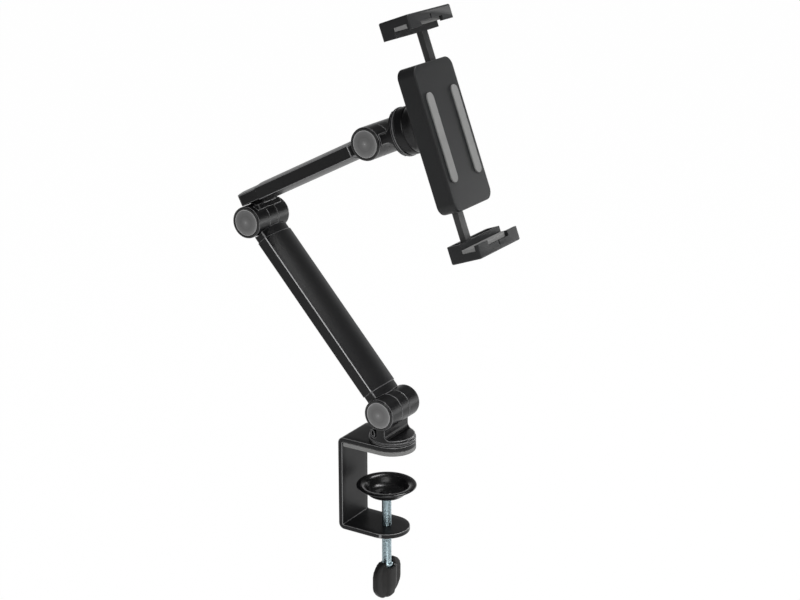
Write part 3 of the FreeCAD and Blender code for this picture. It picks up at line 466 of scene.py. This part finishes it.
bracket_paint = grained("bracket_paint", coat_black, 0.40, grain=900.0, depth=0.02 * mm, specular=0.22)
bracket = build_piece("bracket_shell", [bent_strip()], bracket_paint, "clamp",
                      ["clamp_bracket"])
# A lighter grey on the bracket's eased edges and inner bends: a painted highlight.
strip_edge_highlight = grained("thin_paint_on_edges", strip_highlight_grey, 0.30, grain=900.0, depth=0.01 * mm, specular=0.8)


def strip_edges(normal, centre):
    """The eased edges, whose normals lean across X along the legs and the wall, and across Z round the
    half-round tips, and the middle of both inner bends. All of them get a painted highlight."""
    slope = normal.z if centre.y < -strip_half * 0.3 else normal.x
    in_bend = abs(normal.x) < 0.2 and normal.y < -0.62 and abs(normal.z) > 0.62
    return in_bend or 0.25 < abs(slope) < 0.97


brighten_edges(bracket, strip_edge_highlight, strip_edges)


# Clamp pad: closed-cell rubber sheet, die cut to the upper leg's shape and glued under it.
# Its cut edge shows mid grey and slightly porous.
pad_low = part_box("clamp_pad")[0].z
pad_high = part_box("clamp_pad")[1].z
pad_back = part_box("clamp_pad")[1].y
pad_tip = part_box("clamp_pad")[0].y
pad_edge = 0.35 * mm
pad_grey = (0.21, 0.21, 0.207, 1.0)
pore_depth = 0.12 * mm


def slab(outline, low, high, edge, rings=5):
    """A flat piece with eased edges: its closed outline (points, xy), inset near the top and bottom
    by a quarter circle, carried up the height and closed towards its centre."""
    loop = np.vstack([outline, outline[:1]])
    along = np.roll(outline, -1, axis=0) - np.roll(outline, 1, axis=0)
    along = along / np.linalg.norm(along, axis=1)[:, None]
    inward = np.stack([-along[:, 1], along[:, 0]], axis=1)
    area = np.sum(outline[:, 0] * np.roll(outline[:, 1], -1) - np.roll(outline[:, 0], -1) * outline[:, 1])
    inward = np.vstack([inward, inward[:1]]) * np.sign(area)
    quarter = np.linspace(0.0, math.pi / 2, rings)
    inset = edge * (1 - np.sin(quarter))
    rise = edge * (1 - np.cos(quarter))
    offsets = np.concatenate([inset, inset[::-1]])
    heights = np.concatenate([low + rise, high - rise[::-1]])
    wall = loop[None, :, :] + inward[None, :, :] * offsets[:, None, None]
    wall = np.concatenate([wall, np.broadcast_to(heights[:, None, None], wall.shape[:2] + (1,))], axis=-1)
    centre = outline.mean(axis=0)
    share = np.array([1.0, 0.6, 0.0])[:, None, None]
    caps = []
    for ring, height in ((wall[0], low), (wall[-1], high)):
        flat = centre + (ring[None, :, :2] - centre) * share
        caps.append(np.concatenate([flat, np.full(flat.shape[:2] + (1,), height)], axis=-1))
    return [wall] + caps


def tongue_outline(half, back, tip, steps=28):
    """A strip with a square back and a half-round front."""
    angle = np.linspace(0.0, -math.pi, steps)
    front = np.stack([half * np.cos(angle), tip + half + half * np.sin(angle)], axis=1)
    return np.vstack([[[half, back]], front, [[-half, back]]])


def rubber(name, colour, pores=1400.0):
    """Foamed rubber: matt, with small pores."""
    material, tree, shader, mapping = start_material(name)
    made = place_group(tree, fine_grain, mapping, colour=colour, roughness=0.85, drift=0.35)
    pore = tree.nodes.new("ShaderNodeTexVoronoi")
    pore.inputs["Scale"].default_value = pores
    feed(tree, pore.inputs["Vector"], mapping.outputs["Vector"])
    feed(tree, shader.inputs["Base Color"], made["Colour"])
    feed(tree, shader.inputs["Roughness"], made["Roughness"])
    add_bump(tree, shader, pore.outputs["Distance"], pore_depth)
    shader.inputs["Specular IOR Level"].default_value = 0.2
    return material


pad_rubber = rubber("clamp_pad_rubber", pad_grey)
pad_outline = tongue_outline(strip_half, pad_back, pad_tip)
build_piece("clamp_pad_sheet", slab(pad_outline, pad_low, pad_high, pad_edge), pad_rubber, "clamp",
            ["clamp_pad"])


# Pressure plate: a dish pressed from thin steel sheet with a rolled rim, enamelled glossy black.
# The screw end is swaged over in the floor of its bowl.
plate_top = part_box("pressure_plate")[1].z
plate_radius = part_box("pressure_plate")[1].x
plate_sheet = 1.4 * mm
plate_bore = 4.1 * mm
bowl_depth = 8.6 * mm
bowl_radius = 13.5 * mm
plate_rim = 4.2 * mm
enamel_black = (0.004, 0.004, 0.0045, 1.0)


def lathe(profile, count):
    """A profile of (radius, height) points turned about the Z axis."""
    angle = np.linspace(0.0, 2 * math.pi, count + 1)
    angle[-1] = 0.0
    radius, height = profile[:, 0][:, None], profile[:, 1][:, None]
    x = radius * np.cos(angle)
    return np.stack([x, radius * np.sin(angle), np.broadcast_to(height, x.shape)], axis=-1)


plate_floor = plate_top - bowl_depth
shoulder = plate_radius - plate_rim
plate_profile = round_corners(
    np.array([
        (plate_bore, plate_floor - plate_sheet), (plate_bore, plate_floor), (bowl_radius, plate_floor),
        (shoulder - 2.2 * mm, plate_top - 1.2 * mm), (shoulder + 0.4 * mm, plate_top),
        (plate_radius - 0.9 * mm, plate_top - 0.05 * mm), (plate_radius, plate_top - 0.7 * mm),
        (plate_radius, plate_top - 1.6 * mm), (plate_radius - plate_sheet, plate_top - 1.6 * mm),
        (shoulder + 1.4 * mm, plate_top - plate_sheet), (shoulder - 0.6 * mm, plate_top - 2.6 * mm),
        (bowl_radius + 1.1 * mm, plate_floor - plate_sheet)]),
    np.array([0.2, 0.2, 4.2, 2.6, 2.0, 0.8, 0.7, 0.3, 0.3, 1.6, 2.6, 3.6]) * mm, steps=8)
plate_profile = np.vstack([plate_profile, plate_profile[:1]])
plate_enamel = grained("plate_enamel", enamel_black, 0.25, grain=260.0, depth=0.05 * mm, drift=0.3,
                       specular=0.6)
build_piece("pressure_dish", [lathe(plate_profile, 128)], plate_enamel, "pressure_plate",
            ["pressure_plate"])


# Clamp screw: M8 steel rod, rolled thread, zinc plated with a pale blue passivate. Its upper end is
# turned down, put through the dish and swaged over. A plated collar locks it in the wing knob.
thread_radius = 4.0 * mm
thread_depth = 0.34 * mm
thread_pitch = 1.25 * mm
flank_slope = 2.4
root_width = 0.35
neck_radius = 3.6 * mm
swage_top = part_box("clamp_screw")[1].z
swage_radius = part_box("clamp_screw")[1].x
screw_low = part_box("clamp_screw")[0].z
screw_seat = plate_floor - plate_sheet - 0.1 * mm
zinc_blue = (0.44, 0.55, 0.59, 1.0)


def threaded_rod(low, high, rows_per_turn=10, columns=40):
    """A rolled thread: the radius falls from crest to root with a rounded triangle wave of the
    height less the turned share of a pitch, and fades out over the last pitch at both ends."""
    rows = int(round((high - low) / thread_pitch * rows_per_turn))
    z = np.linspace(low, high, rows + 1)[:, None]
    angle = np.linspace(0.0, 2 * math.pi, columns + 1)[None, :]
    phase = (z / thread_pitch - angle / (2 * math.pi)) % 1.0
    wave = np.clip(flank_slope * np.abs(2 * phase - 1) - root_width, 0, 1)
    wave = wave * wave * (3 - 2 * wave)
    fade = np.clip(np.minimum(z - low, high - z) / thread_pitch, 0, 1)
    radius = thread_radius - thread_depth * (1 - wave * fade)
    height = np.broadcast_to(z, radius.shape)
    wall = np.stack([radius * np.cos(angle), radius * np.sin(angle), height], axis=-1)
    ends = [np.stack([ring, ring * [0.0, 0.0, 1.0]]) for ring in (wall[0], wall[-1])]
    return [wall] + ends


def plated_steel(name, colour, roughness):
    """Bright plating: metallic, with faint streaks and clouding of its passivate."""
    return grained(name, colour, roughness, grain=900.0, depth=0.01 * mm, drift=0.55, metallic=1.0)


zinc = plated_steel("blue_zinc", zinc_blue, 0.27)
neck_profile = round_corners(
    np.array([(0.0, screw_seat - 0.3 * mm), (neck_radius, screw_seat - 0.3 * mm),
              (neck_radius, plate_floor + 0.1 * mm), (swage_radius, plate_floor + 0.1 * mm),
              (swage_radius - 0.5 * mm, plate_floor + 1.1 * mm), (swage_radius - 2.2 * mm, swage_top),
              (1.6 * mm, swage_top - 0.5 * mm), (0.0, swage_top - 0.9 * mm)]),
    np.array([0.0, 0.1, 0.1, 0.4, 0.5, 0.9, 0.8, 0.0]) * mm, closed=False)
build_piece("screw_rod", threaded_rod(screw_low, screw_seat), zinc, "clamp_screw",
            ["clamp_screw"], crease=50.0)
build_piece("screw_swaged_end", [lathe(neck_profile, 48)], plate_enamel, "clamp_screw",
            ["clamp_screw"], crease=50.0)


# Locking collar: a small turned ring, flatted for a spanner, pressed over the rod above the knob.
collar_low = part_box("screw_collar")[0].z
collar_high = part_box("screw_collar")[1].z
collar_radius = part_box("screw_collar")[1].x
collar_flats = 12


def flatted_ring(low, high, radius, bore, flats, chamfer):
    """A ring whose outside is a polygon: radius over cosine of the angle within a flat, with its
    top and bottom corners chamfered by a cone."""
    angle = np.linspace(0.0, 2 * math.pi, flats * 8 + 1)
    half = math.pi / flats
    within = (angle % (2 * half)) - half
    polygon = radius * math.cos(half) / np.cos(within)
    rows = [(bore, low), (radius - chamfer, low), (radius, low + chamfer), (radius, high - chamfer),
            (radius - chamfer, high), (bore, high), (bore, low)]
    grid = []
    for limit, z in rows:
        r = np.minimum(polygon, limit)
        grid.append(np.stack([r * np.cos(angle), r * np.sin(angle), np.full(len(angle), z)], axis=1))
    return np.array(grid)


build_piece("lock_collar",
            [flatted_ring(collar_low, collar_high, collar_radius, thread_radius, collar_flats, 0.5 * mm)],
            zinc, "clamp_screw", ["screw_collar"], crease=20.0)


# Wing knob: moulded in one piece over the screw from black nylon, matt from a spark-eroded mould.
# Two wings spread into a squarish hub, the near one towards its front and the far one towards its
# back. The hub's top is dished for the collar, and the wings stand a little above it.
knob_turn = math.radians(-6.0)
knob_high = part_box("wing_knob")[1].z
knob_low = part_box("wing_knob")[0].z
knob_half = 17.3 * mm
wing_half = 3.1 * mm
wing_shift = 0.8 * mm
hub_half = 8.0 * mm
hub_drop = 4.8 * mm
dish_depth = 2.3 * mm
dish_radius = collar_radius + 1.0 * mm
knob_edge = 0.7 * mm
knob_black = (0.0105, 0.0098, 0.0096, 1.0)
hub_corner_highlight_grey = (0.09, 0.09, 0.09, 1.0)
hub_depth_share = 0.93
corner_reach = 11.0 * mm
corner_start = 3.0 * mm
join_power = 14
wing_widths = ([0.0, 0.05, 0.15, 0.27, 0.36, 0.68, 0.80, 0.90, 0.96, 1.0],
               [0.42, 0.60, 0.80, 0.95, 1.0, 1.0, 0.94, 0.80, 0.65, 0.48])
wing_depths = ([0.0, 0.03, 0.08, 1.0], [0.55, 0.8, 1.0, 0.96])
hub_widths = ([0.0, 0.06, 0.3, 0.8, 1.0], [0.55, 0.76, 0.95, 1.0, 1.0])


def superellipse(angle, half_x, half_y, power):
    """The polar radius of a superellipse."""
    along, across = np.abs(np.cos(angle) / half_x), np.abs(np.sin(angle) / half_y)
    return (along ** power + across ** power) ** (-1 / power)


def knob_shell(columns=288):
    """Rings from the toe to the dished top, in polar form. The wings swell and narrow with the
    height, a wedge joins each to one side of the hub, and the top drops between them to the hub's."""
    angle = np.linspace(0.0, 2 * math.pi, columns + 1)
    offset = np.sign(np.sin(2 * angle))
    thick = wing_half + wing_shift * offset
    share = np.clip((thick / dish_radius - np.abs(np.sin(angle))) * 6.0 + 0.5, 0, 1)
    high = knob_high - hub_drop * (1 - share * share * (3 - 2 * share))
    level = np.concatenate([np.linspace(0, 0.14, 12), np.linspace(0.14, 0.6, 8)[1:],
                            np.linspace(0.6, 1.0, 30)[1:]])
    z = knob_low + level[:, None] * (high - knob_low)[None, :]
    up = (z - knob_low) / (knob_high - knob_low)
    width = np.interp(up, *wing_widths)
    blunt = np.interp(up, *wing_depths)
    body = hub_half * np.interp(up, *hub_widths)
    wing = superellipse(angle[None, :], knob_half * width, thick[None, :] * blunt, power=6.0)
    hub = superellipse(angle[None, :], body, body * hub_depth_share, power=3.0)
    radius = (wing ** join_power + hub ** join_power) ** (1 / join_power)
    wedge = superellipse(angle[None, :], knob_half * width * 0.97, body * hub_depth_share, power=1.3)
    radius = np.where(offset[None, :] > 0, np.maximum(radius, wedge), radius)
    radius = np.maximum(radius, np.where(z > high - dish_depth - knob_edge, dish_radius + knob_edge, 0.0))
    rows = [np.zeros(columns + 1), radius[0] * 0.6] + list(radius[:-1])
    heights = [z[0], z[0]] + list(z[:-1])
    top = np.maximum(radius[-1] - knob_edge, dish_radius + 0.2 * mm)
    floor = np.full(columns + 1, knob_high - hub_drop - dish_depth)
    rows += [radius[-1], top, np.full(columns + 1, dish_radius), np.full(columns + 1, dish_radius),
             np.zeros(columns + 1)]
    heights += [high - knob_edge * 0.7, high, high - 0.1 * mm, floor, floor]
    rows, heights = np.array(rows), np.array(heights)
    x = rows * np.cos(angle)
    y = rows * np.sin(angle)
    c, s = math.cos(knob_turn), math.sin(knob_turn)
    return np.stack([x * c - y * s, x * s + y * c, heights], axis=-1)


knob_nylon = grained("knob_nylon", knob_black, 0.56, grain=1300.0, depth=0.045 * mm, drift=0.2, specular=0.3)
knob = build_piece("wing_knob_moulding", [knob_shell()], knob_nylon, "clamp_screw",
                   ["wing_knob"], crease=36.0)
# A lighter grey on the hub's free corners: a painted highlight where a corner catches the light.
polished_nylon = grained("polished_nylon", hub_corner_highlight_grey, 0.4, grain=1300.0, depth=0.02 * mm,
                         specular=0.6)


def hub_corners(normal, centre):
    """The hub's two upright corners that stand free of the wedges. They get a painted highlight."""
    c, s = math.cos(knob_turn), math.sin(knob_turn)
    free_side = (centre.x * c + centre.y * s) * (centre.y * c - centre.x * s) < 0
    on_hub = free_side and math.hypot(centre.x, centre.y) < corner_reach
    on_wall = knob_low + corner_start < centre.z < knob_high - hub_drop
    along = abs(normal.x * c + normal.y * s)
    across = abs(normal.y * c - normal.x * s)
    return on_hub and on_wall and 0.5 < across / (along + 0.001) < 2.2


brighten_edges(knob, polished_nylon, hub_corners)


# Yokes: zinc castings painted satin black, turned and bored after casting. A round ringed foot turns
# on a bolt, a scooped neck rises from it, and two ears make the outer thirds of the hinge barrel.
casting_black = (0.0065, 0.0065, 0.007, 1.0)
casting_edge = 0.32 * mm
sharp_corner = math.radians(28.0)
bevel_highlight_grey = (0.13, 0.13, 0.133, 1.0)


def softened(node, width, material, name, segments=2, bevel_highlight=None):
    """A copy of a machined or moulded part with every sharp edge broken by a small bevel. A lighter
    material, a painted highlight, goes on the bevel alone, which then keeps its whole width at short edges
    too."""
    source = frame["nodes"][node]
    mesh = source.data.copy()
    mesh.name = name
    work = bmesh.new()
    work.from_mesh(mesh)
    bmesh.ops.remove_doubles(work, verts=work.verts, dist=0.002 * mm)
    bmesh.ops.dissolve_limit(work, angle_limit=math.radians(0.6), verts=work.verts, edges=work.edges)
    work.to_mesh(mesh)
    work.free()
    mesh.materials.clear()
    mesh.shade_smooth()
    mesh.set_sharp_from_angle(angle=sharp_corner)
    piece = finish_piece(name, mesh, material, source["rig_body"], [node])
    bevel = piece.modifiers.new("broken_edges", "BEVEL")
    bevel.width = width
    bevel.segments = segments
    bevel.limit_method = "ANGLE"
    bevel.angle_limit = sharp_corner
    bevel.use_clamp_overlap = bevel_highlight is None
    bevel.harden_normals = True
    if bevel_highlight is not None:
        mesh.materials.append(bevel_highlight)
        bevel.material = 1
    return piece


casting_paint = grained("casting_paint", casting_black, 0.32, grain=700.0, depth=0.005 * mm, specular=0.25)
# A lighter grey on the bevels of the castings: a painted highlight along their edges and seams.
casting_bevel_highlight = grained("worn_casting_edge", bevel_highlight_grey, 0.28, grain=900.0, depth=0.01 * mm, specular=0.8)
for joint in ("base", "elbow", "head"):
    softened(joint + "_yoke", casting_edge, casting_paint, joint + "_yoke_casting",
             segments=3, bevel_highlight=casting_bevel_highlight)


# Hinge barrels: a black moulded rim and a spun aluminium disc close each end over the bolt and nut.
# The disc is slightly domed, with fine lathe rings, a centre dimple and an outer step, and a highlight is
# painted on the dimple and the step.
barrel_axes = {"base": "lower_hinge", "elbow": "elbow_hinge", "head": "head_hinge"}
barrel_body = {"base": "base_yoke", "elbow": "elbow_yoke", "head": "head_yoke"}
rim_radius = 12.95 * mm
rim_inner = 11.05 * mm
rim_start = 20.3 * mm
rim_end = 21.5 * mm
disc_radius = 10.9 * mm
disc_back = 20.3 * mm
disc_rise = 0.55 * mm
disc_face_height = 0.9 * mm
disc_edge_height = 0.72 * mm
dimple_depth = 0.25 * mm
dimple_radius = 0.75 * mm
groove_depth = 0.12 * mm
groove_radius = 10.1 * mm
groove_width = 0.22 * mm
disc_grey = (0.46, 0.46, 0.46, 1.0)
rim_black = (0.008, 0.008, 0.0085, 1.0)
# Tone by share of the disc's radius: the centre and the outer step carry a painted highlight.
disc_tones_and_highlights = ((0.03, 0.8), (0.06, 0.47), (0.945, 0.47), (0.96, 0.95))
ring_scale = 1000.0
ring_depth = 0.03 * mm


def joint_place(name):
    """Where a joint's axis passes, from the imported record."""
    place = [joint for joint in frame["joints"] if joint["name"] == name][0]["pos_m"]
    return np.array(place)


def turned_to_x(grid, place, side):
    """A lathe grid about Z laid along X, towards one side, and centred on a barrel's axis."""
    laid = np.stack([side * grid[..., 2], grid[..., 0], grid[..., 1]], axis=-1)
    return laid + np.array([0.0, place[1], place[2]])


def spun_disc_material(name, place):
    """Spun aluminium: rings at one distance from the axis catch the light in turn, painted into the colour.
    A highlight is painted on the dimple and the outer step, which are brighter than the face between them."""
    material, tree, shader, mapping = start_material(name)
    mapping.inputs["Location"].default_value = (0.0, -place[1], -place[2])
    flat = on_vectors(tree, "MULTIPLY", mapping.outputs["Vector"], (0.0, 1.0, 1.0))
    away = on_vectors(tree, "LENGTH", flat)
    rings = noise(tree, away, ring_scale, 3.0, dimensions="1D")
    bright = tree.nodes.new("ShaderNodeFloatCurve")
    curve = bright.mapping.curves[0]
    curve.points[0].location = (0.0, 1.0)
    curve.points[1].location = (1.0, 0.9)
    for share, level in disc_tones_and_highlights:
        curve.points.new(share, level)
    bright.mapping.update()
    feed(tree, bright.inputs["Value"], calculate(tree, "DIVIDE", away, disc_radius))
    tone = calculate(tree, "MULTIPLY", bright.outputs[0], ramp(tree, rings, 0.0, 1.0, 0.8, 1.2))
    feed(tree, shader.inputs["Base Color"], on_vectors(tree, "SCALE", disc_grey[:3], tone))
    add_bump(tree, shader, rings, ring_depth)
    shader.inputs["Roughness"].default_value = 0.42
    shader.inputs["Metallic"].default_value = 0.35
    shader.inputs["Specular IOR Level"].default_value = 0.5
    return material


rim_profile = round_corners(
    np.array([(rim_inner, rim_start), (rim_radius, rim_start), (rim_radius, rim_end), (rim_inner, rim_end)]),
    np.array([0.0, 0.1, 0.8, 0.3]) * mm, steps=6)
rim_profile = np.vstack([rim_profile, rim_profile[:1]])
disc_r = np.concatenate([[0.0], np.linspace(0.25, 9.5, 26), np.linspace(9.6, 10.6, 11), [10.8]]) * mm
disc_dome = disc_rise * (1 - (disc_r / disc_radius) ** 2)
disc_dimple = dimple_depth * np.exp(-(disc_r / dimple_radius) ** 2)
disc_groove = groove_depth * np.exp(-((disc_r - groove_radius) / groove_width) ** 2)
disc_height = disc_back + disc_face_height + disc_dome - disc_dimple - disc_groove
disc_face = np.stack([disc_r, disc_height], axis=1)
disc_edge = np.array([(disc_radius, disc_back + disc_edge_height), (disc_radius, disc_back),
                      (0.0, disc_back)])
disc_profile = np.vstack([disc_face, disc_edge])
rim_moulding = grained("rim_moulding", rim_black, 0.22, grain=500.0, depth=0.008 * mm, specular=0.5)
for joint, hinge in barrel_axes.items():
    place = joint_place(hinge)
    disc_finish = spun_disc_material("spun_disc_" + joint, place)
    rims = [turned_to_x(lathe(rim_profile, 72), place, side) for side in (-1, 1)]
    build_piece(joint + "_rim_pair", rims, rim_moulding, barrel_body[joint],
                [joint + "_barrel_rims"])
    discs = [turned_to_x(lathe(disc_profile, 72), place, side) for side in (-1, 1)]
    build_piece(joint + "_disc_pair", discs, disc_finish, barrel_body[joint],
                [joint + "_barrel_discs"])


# Arm ends: zinc castings that plug into the tubes, saddled round the ears, with the middle third of
# the barrel cast on. They sit a little inside the tube's outline and are painted as the yokes are.
end_edge = 0.35 * mm
for node in ("lower_arm_bottom_end", "lower_arm_top_end", "upper_arm_rear_end", "upper_arm_front_end"):
    softened(node, end_edge, casting_paint, node + "_casting",
             bevel_highlight=casting_bevel_highlight)


# Arm tubes: aluminium extrusions with flat sides, a small quirk at each corner and crowned faces,
# anodised satin black. Fine die lines run along them, and the sawn ends are just broken.
tube_half_width = 17.8 * mm
tube_band = 4.5 * mm
tube_crown = 7.8 * mm
tube_quirk = 0.6 * mm
tube_wall = 1.8 * mm
tube_break = 0.25 * mm
band_draw = 0.35
end_length = 19.0 * mm
lower_lean = math.radians(-41.8)
upper_lean = math.radians(62.8)
lower_length = 190.6 * mm
upper_length = 139.5 * mm
upper_offset = 18.1 * mm
anodised_black = (0.006, 0.006, 0.0065, 1.0)
quirk_highlight_grey = (0.16, 0.16, 0.165, 1.0)
line_stretch = (1.0, 1.0, 0.006)


def arm_section(inset):
    """Once round the section: two bands, four quirks and two crowns that are arcs of a circle."""
    w, b, t = tube_half_width - inset, tube_band - band_draw * inset, tube_crown - inset
    half = w - tube_quirk
    shoulder_height = b + tube_quirk
    rise = t - shoulder_height
    bow = (half * half + rise * rise) / (2 * rise)
    x = np.linspace(half, -half, 33)
    crown = np.stack([x, t - bow + np.sqrt(bow * bow - x * x)], axis=1)
    left = np.array([(-w, b), (-w, b / 3), (-w, -b / 3), (-w, -b)])
    section = np.vstack([crown, left, -crown, -left])
    return np.vstack([section, section[:1]])


def tube_grids(z0, z1, offset, lean, place):
    """The section carried along the tube, drawn in at both sawn ends, with its bore inside. The arm's
    own frame is then turned about X and moved to the hinge."""
    stations = [(tube_wall, z0), (tube_break, z0), (0.0, z0 + tube_break), (0.0, z1 - tube_break),
                (tube_break, z1), (tube_wall, z1), (tube_wall, z0)]
    rings = [(arm_section(inset), z) for inset, z in stations]
    grid = np.array([np.column_stack([ring, np.full(len(ring), z)]) for ring, z in rings])
    y, z = grid[..., 1] + offset, grid[..., 2]
    turned_y = y * math.cos(lean) - z * math.sin(lean)
    turned_z = y * math.sin(lean) + z * math.cos(lean)
    return [np.stack([grid[..., 0], place[1] + turned_y, place[2] + turned_z], axis=-1)]


def make_die_line_group():
    """Lines along one axis: noise stretched along the local Z, as height and as a change of tone."""
    tree, given, made = new_group(
        "die_lines",
        [("Vector", "Vector", None), ("Spacing", "Float", 1200.0)],
        [("Height", "Float"), ("Tone", "Float")])
    lines = noise(tree, on_vectors(tree, "MULTIPLY", given["Vector"], line_stretch), given["Spacing"], 3.0)
    feed(tree, made["Height"], lines)
    feed(tree, made["Tone"], ramp(tree, lines, 0.0, 1.0, 0.8, 1.2))
    return tree


die_lines = make_die_line_group()


def anodised(name, lean):
    """Satin black anodising over die lines that run along the arm."""
    material, tree, shader, mapping = start_material(name)
    mapping.inputs["Rotation"].default_value = (-lean, 0.0, 0.0)
    grain = place_group(tree, fine_grain, mapping, colour=anodised_black, roughness=0.34,
                        grain_scale=2200.0)
    lines = place_group(tree, die_lines, mapping)
    feed(tree, shader.inputs["Base Color"], on_vectors(tree, "SCALE", grain["Colour"], lines["Tone"]))
    feed(tree, shader.inputs["Roughness"], grain["Roughness"])
    add_bump(tree, shader, calculate(tree, "ADD", grain["Height"], lines["Height"]), 0.002 * mm)
    shader.inputs["Specular IOR Level"].default_value = 0.28
    return material


# A lighter grey for the tubes' quirks and sawn ends: a painted highlight.
bright_quirk = grained("bright_quirk", quirk_highlight_grey, 0.25, grain=900.0, depth=0.01 * mm, specular=0.8)
lower_tube = build_piece(
    "lower_arm_extrusion",
    tube_grids(end_length, lower_length - end_length, 0.0, lower_lean, joint_place("lower_hinge")),
    anodised("lower_arm_anodising", lower_lean), "lower_arm", ["lower_arm_tube"], crease=25.0)
upper_tube = build_piece(
    "upper_arm_extrusion",
    tube_grids(end_length, upper_length - end_length, upper_offset, upper_lean, joint_place("elbow_hinge")),
    anodised("upper_arm_anodising", upper_lean), "upper_arm", ["upper_arm_tube"], crease=25.0)
for tube, lean in ((lower_tube, lower_lean), (upper_tube, upper_lean)):
    end_y, end_z = -math.sin(lean), math.cos(lean)
    brighten_edges(tube, bright_quirk, lambda normal, centre: 0.4 < abs(normal.x) < 0.95
                   or abs(normal.y * end_y + normal.z * end_z) > 0.4)


# Hub: turned from aluminium bar and painted as the castings. It turns on the head yoke's foot and
# carries the housing on a flange that flares towards the tablet.
hub_edge = 0.3 * mm
softened("swivel_hub", hub_edge, casting_paint, "swivel_hub_turning")


# Housing and jaws: injection moulded in black ABS with a fine spark texture. The two housing halves
# close over the racks, and each jaw is one moulding with two lips that reach round the tablet's edge.
housing_edge = 0.3 * mm
jaw_edge = 0.45 * mm
head_black = (0.013, 0.0135, 0.014, 1.0)
head_plastic = grained("head_plastic", head_black, 0.50, grain=1100.0, depth=0.04 * mm, specular=0.3)
for node in ("housing_back", "housing_front"):
    softened(node, housing_edge, head_plastic, node + "_moulding")
for node in ("upper_jaw", "lower_jaw"):
    softened(node, jaw_edge, head_plastic, node + "_moulding", segments=3)


# Racks and pinion: machined from black acetal, which needs no grease. They slide in the housing.
rack_edge = 0.12 * mm
acetal_black = (0.03, 0.03, 0.03, 1.0)
acetal = grained("black_acetal", acetal_black, 0.38, grain=600.0, depth=0.02 * mm, specular=0.45)
for node in ("upper_jaw_rack", "lower_jaw_rack"):
    softened(node, rack_edge, acetal, node + "_bar")


# Grip pads: foamed rubber strips, glued into the jaws and on the housing's face.
grip_edge = 0.35 * mm
grip_grey = (0.19, 0.19, 0.188, 1.0)
grip_rubber = rubber("grip_rubber", grip_grey, pores=1700.0)
for node in ("upper_jaw_pad", "lower_jaw_pad", "tablet_rest_pads"):
    softened(node, grip_edge, grip_rubber, node + "_rubber", segments=3)


# Parts that stay inside or show little: bolts, nuts, screws, washers, bushes, springs and the axle.
# They keep the frame's own shapes and get the finish of the real ones.
oxide_black = (0.05, 0.05, 0.052, 1.0)
spring_grey = (0.5, 0.51, 0.52, 1.0)
bearing_grey = (0.05, 0.05, 0.05, 1.0)
black_steel = plated_steel("black_oxide_steel", oxide_black, 0.35)
spring_steel = plated_steel("spring_steel", spring_grey, 0.25)
bearing_nylon = grained("bearing_nylon", bearing_grey, 0.45, specular=0.4)
inner_finish = {
    "blackened_steel": (black_steel, ["base_swivel_bolt", "head_swivel_bolt", "base_set_screw",
                                      "elbow_swivel_screw", "elbow_swivel_washer", "hub_screws",
                                      "housing_screws", "upper_jaw_screws", "lower_jaw_screws"]),
    "bearing_nylon": (bearing_nylon, ["base_swivel_washer", "head_swivel_washer", "lower_arm_bottom_bush",
                                      "lower_arm_top_bush", "upper_arm_bush"]),
    "spring_steel": (spring_steel, ["pinion_axle", "jaw_brake_springs"]),
    "rack_plastic": (acetal, ["jaw_pinion"])}
for joint in barrel_axes:
    inner_finish["blackened_steel"][1].extend([joint + "_hinge_bolt", joint + "_hinge_nut"])
    inner_finish["bearing_nylon"][1].append(joint + "_friction_washers")
for slot_name, (material, names) in inner_finish.items():
    for name in names:
        node = frame["nodes"][name]
        for material_slot in node.material_slots:
            material_slot.material = material
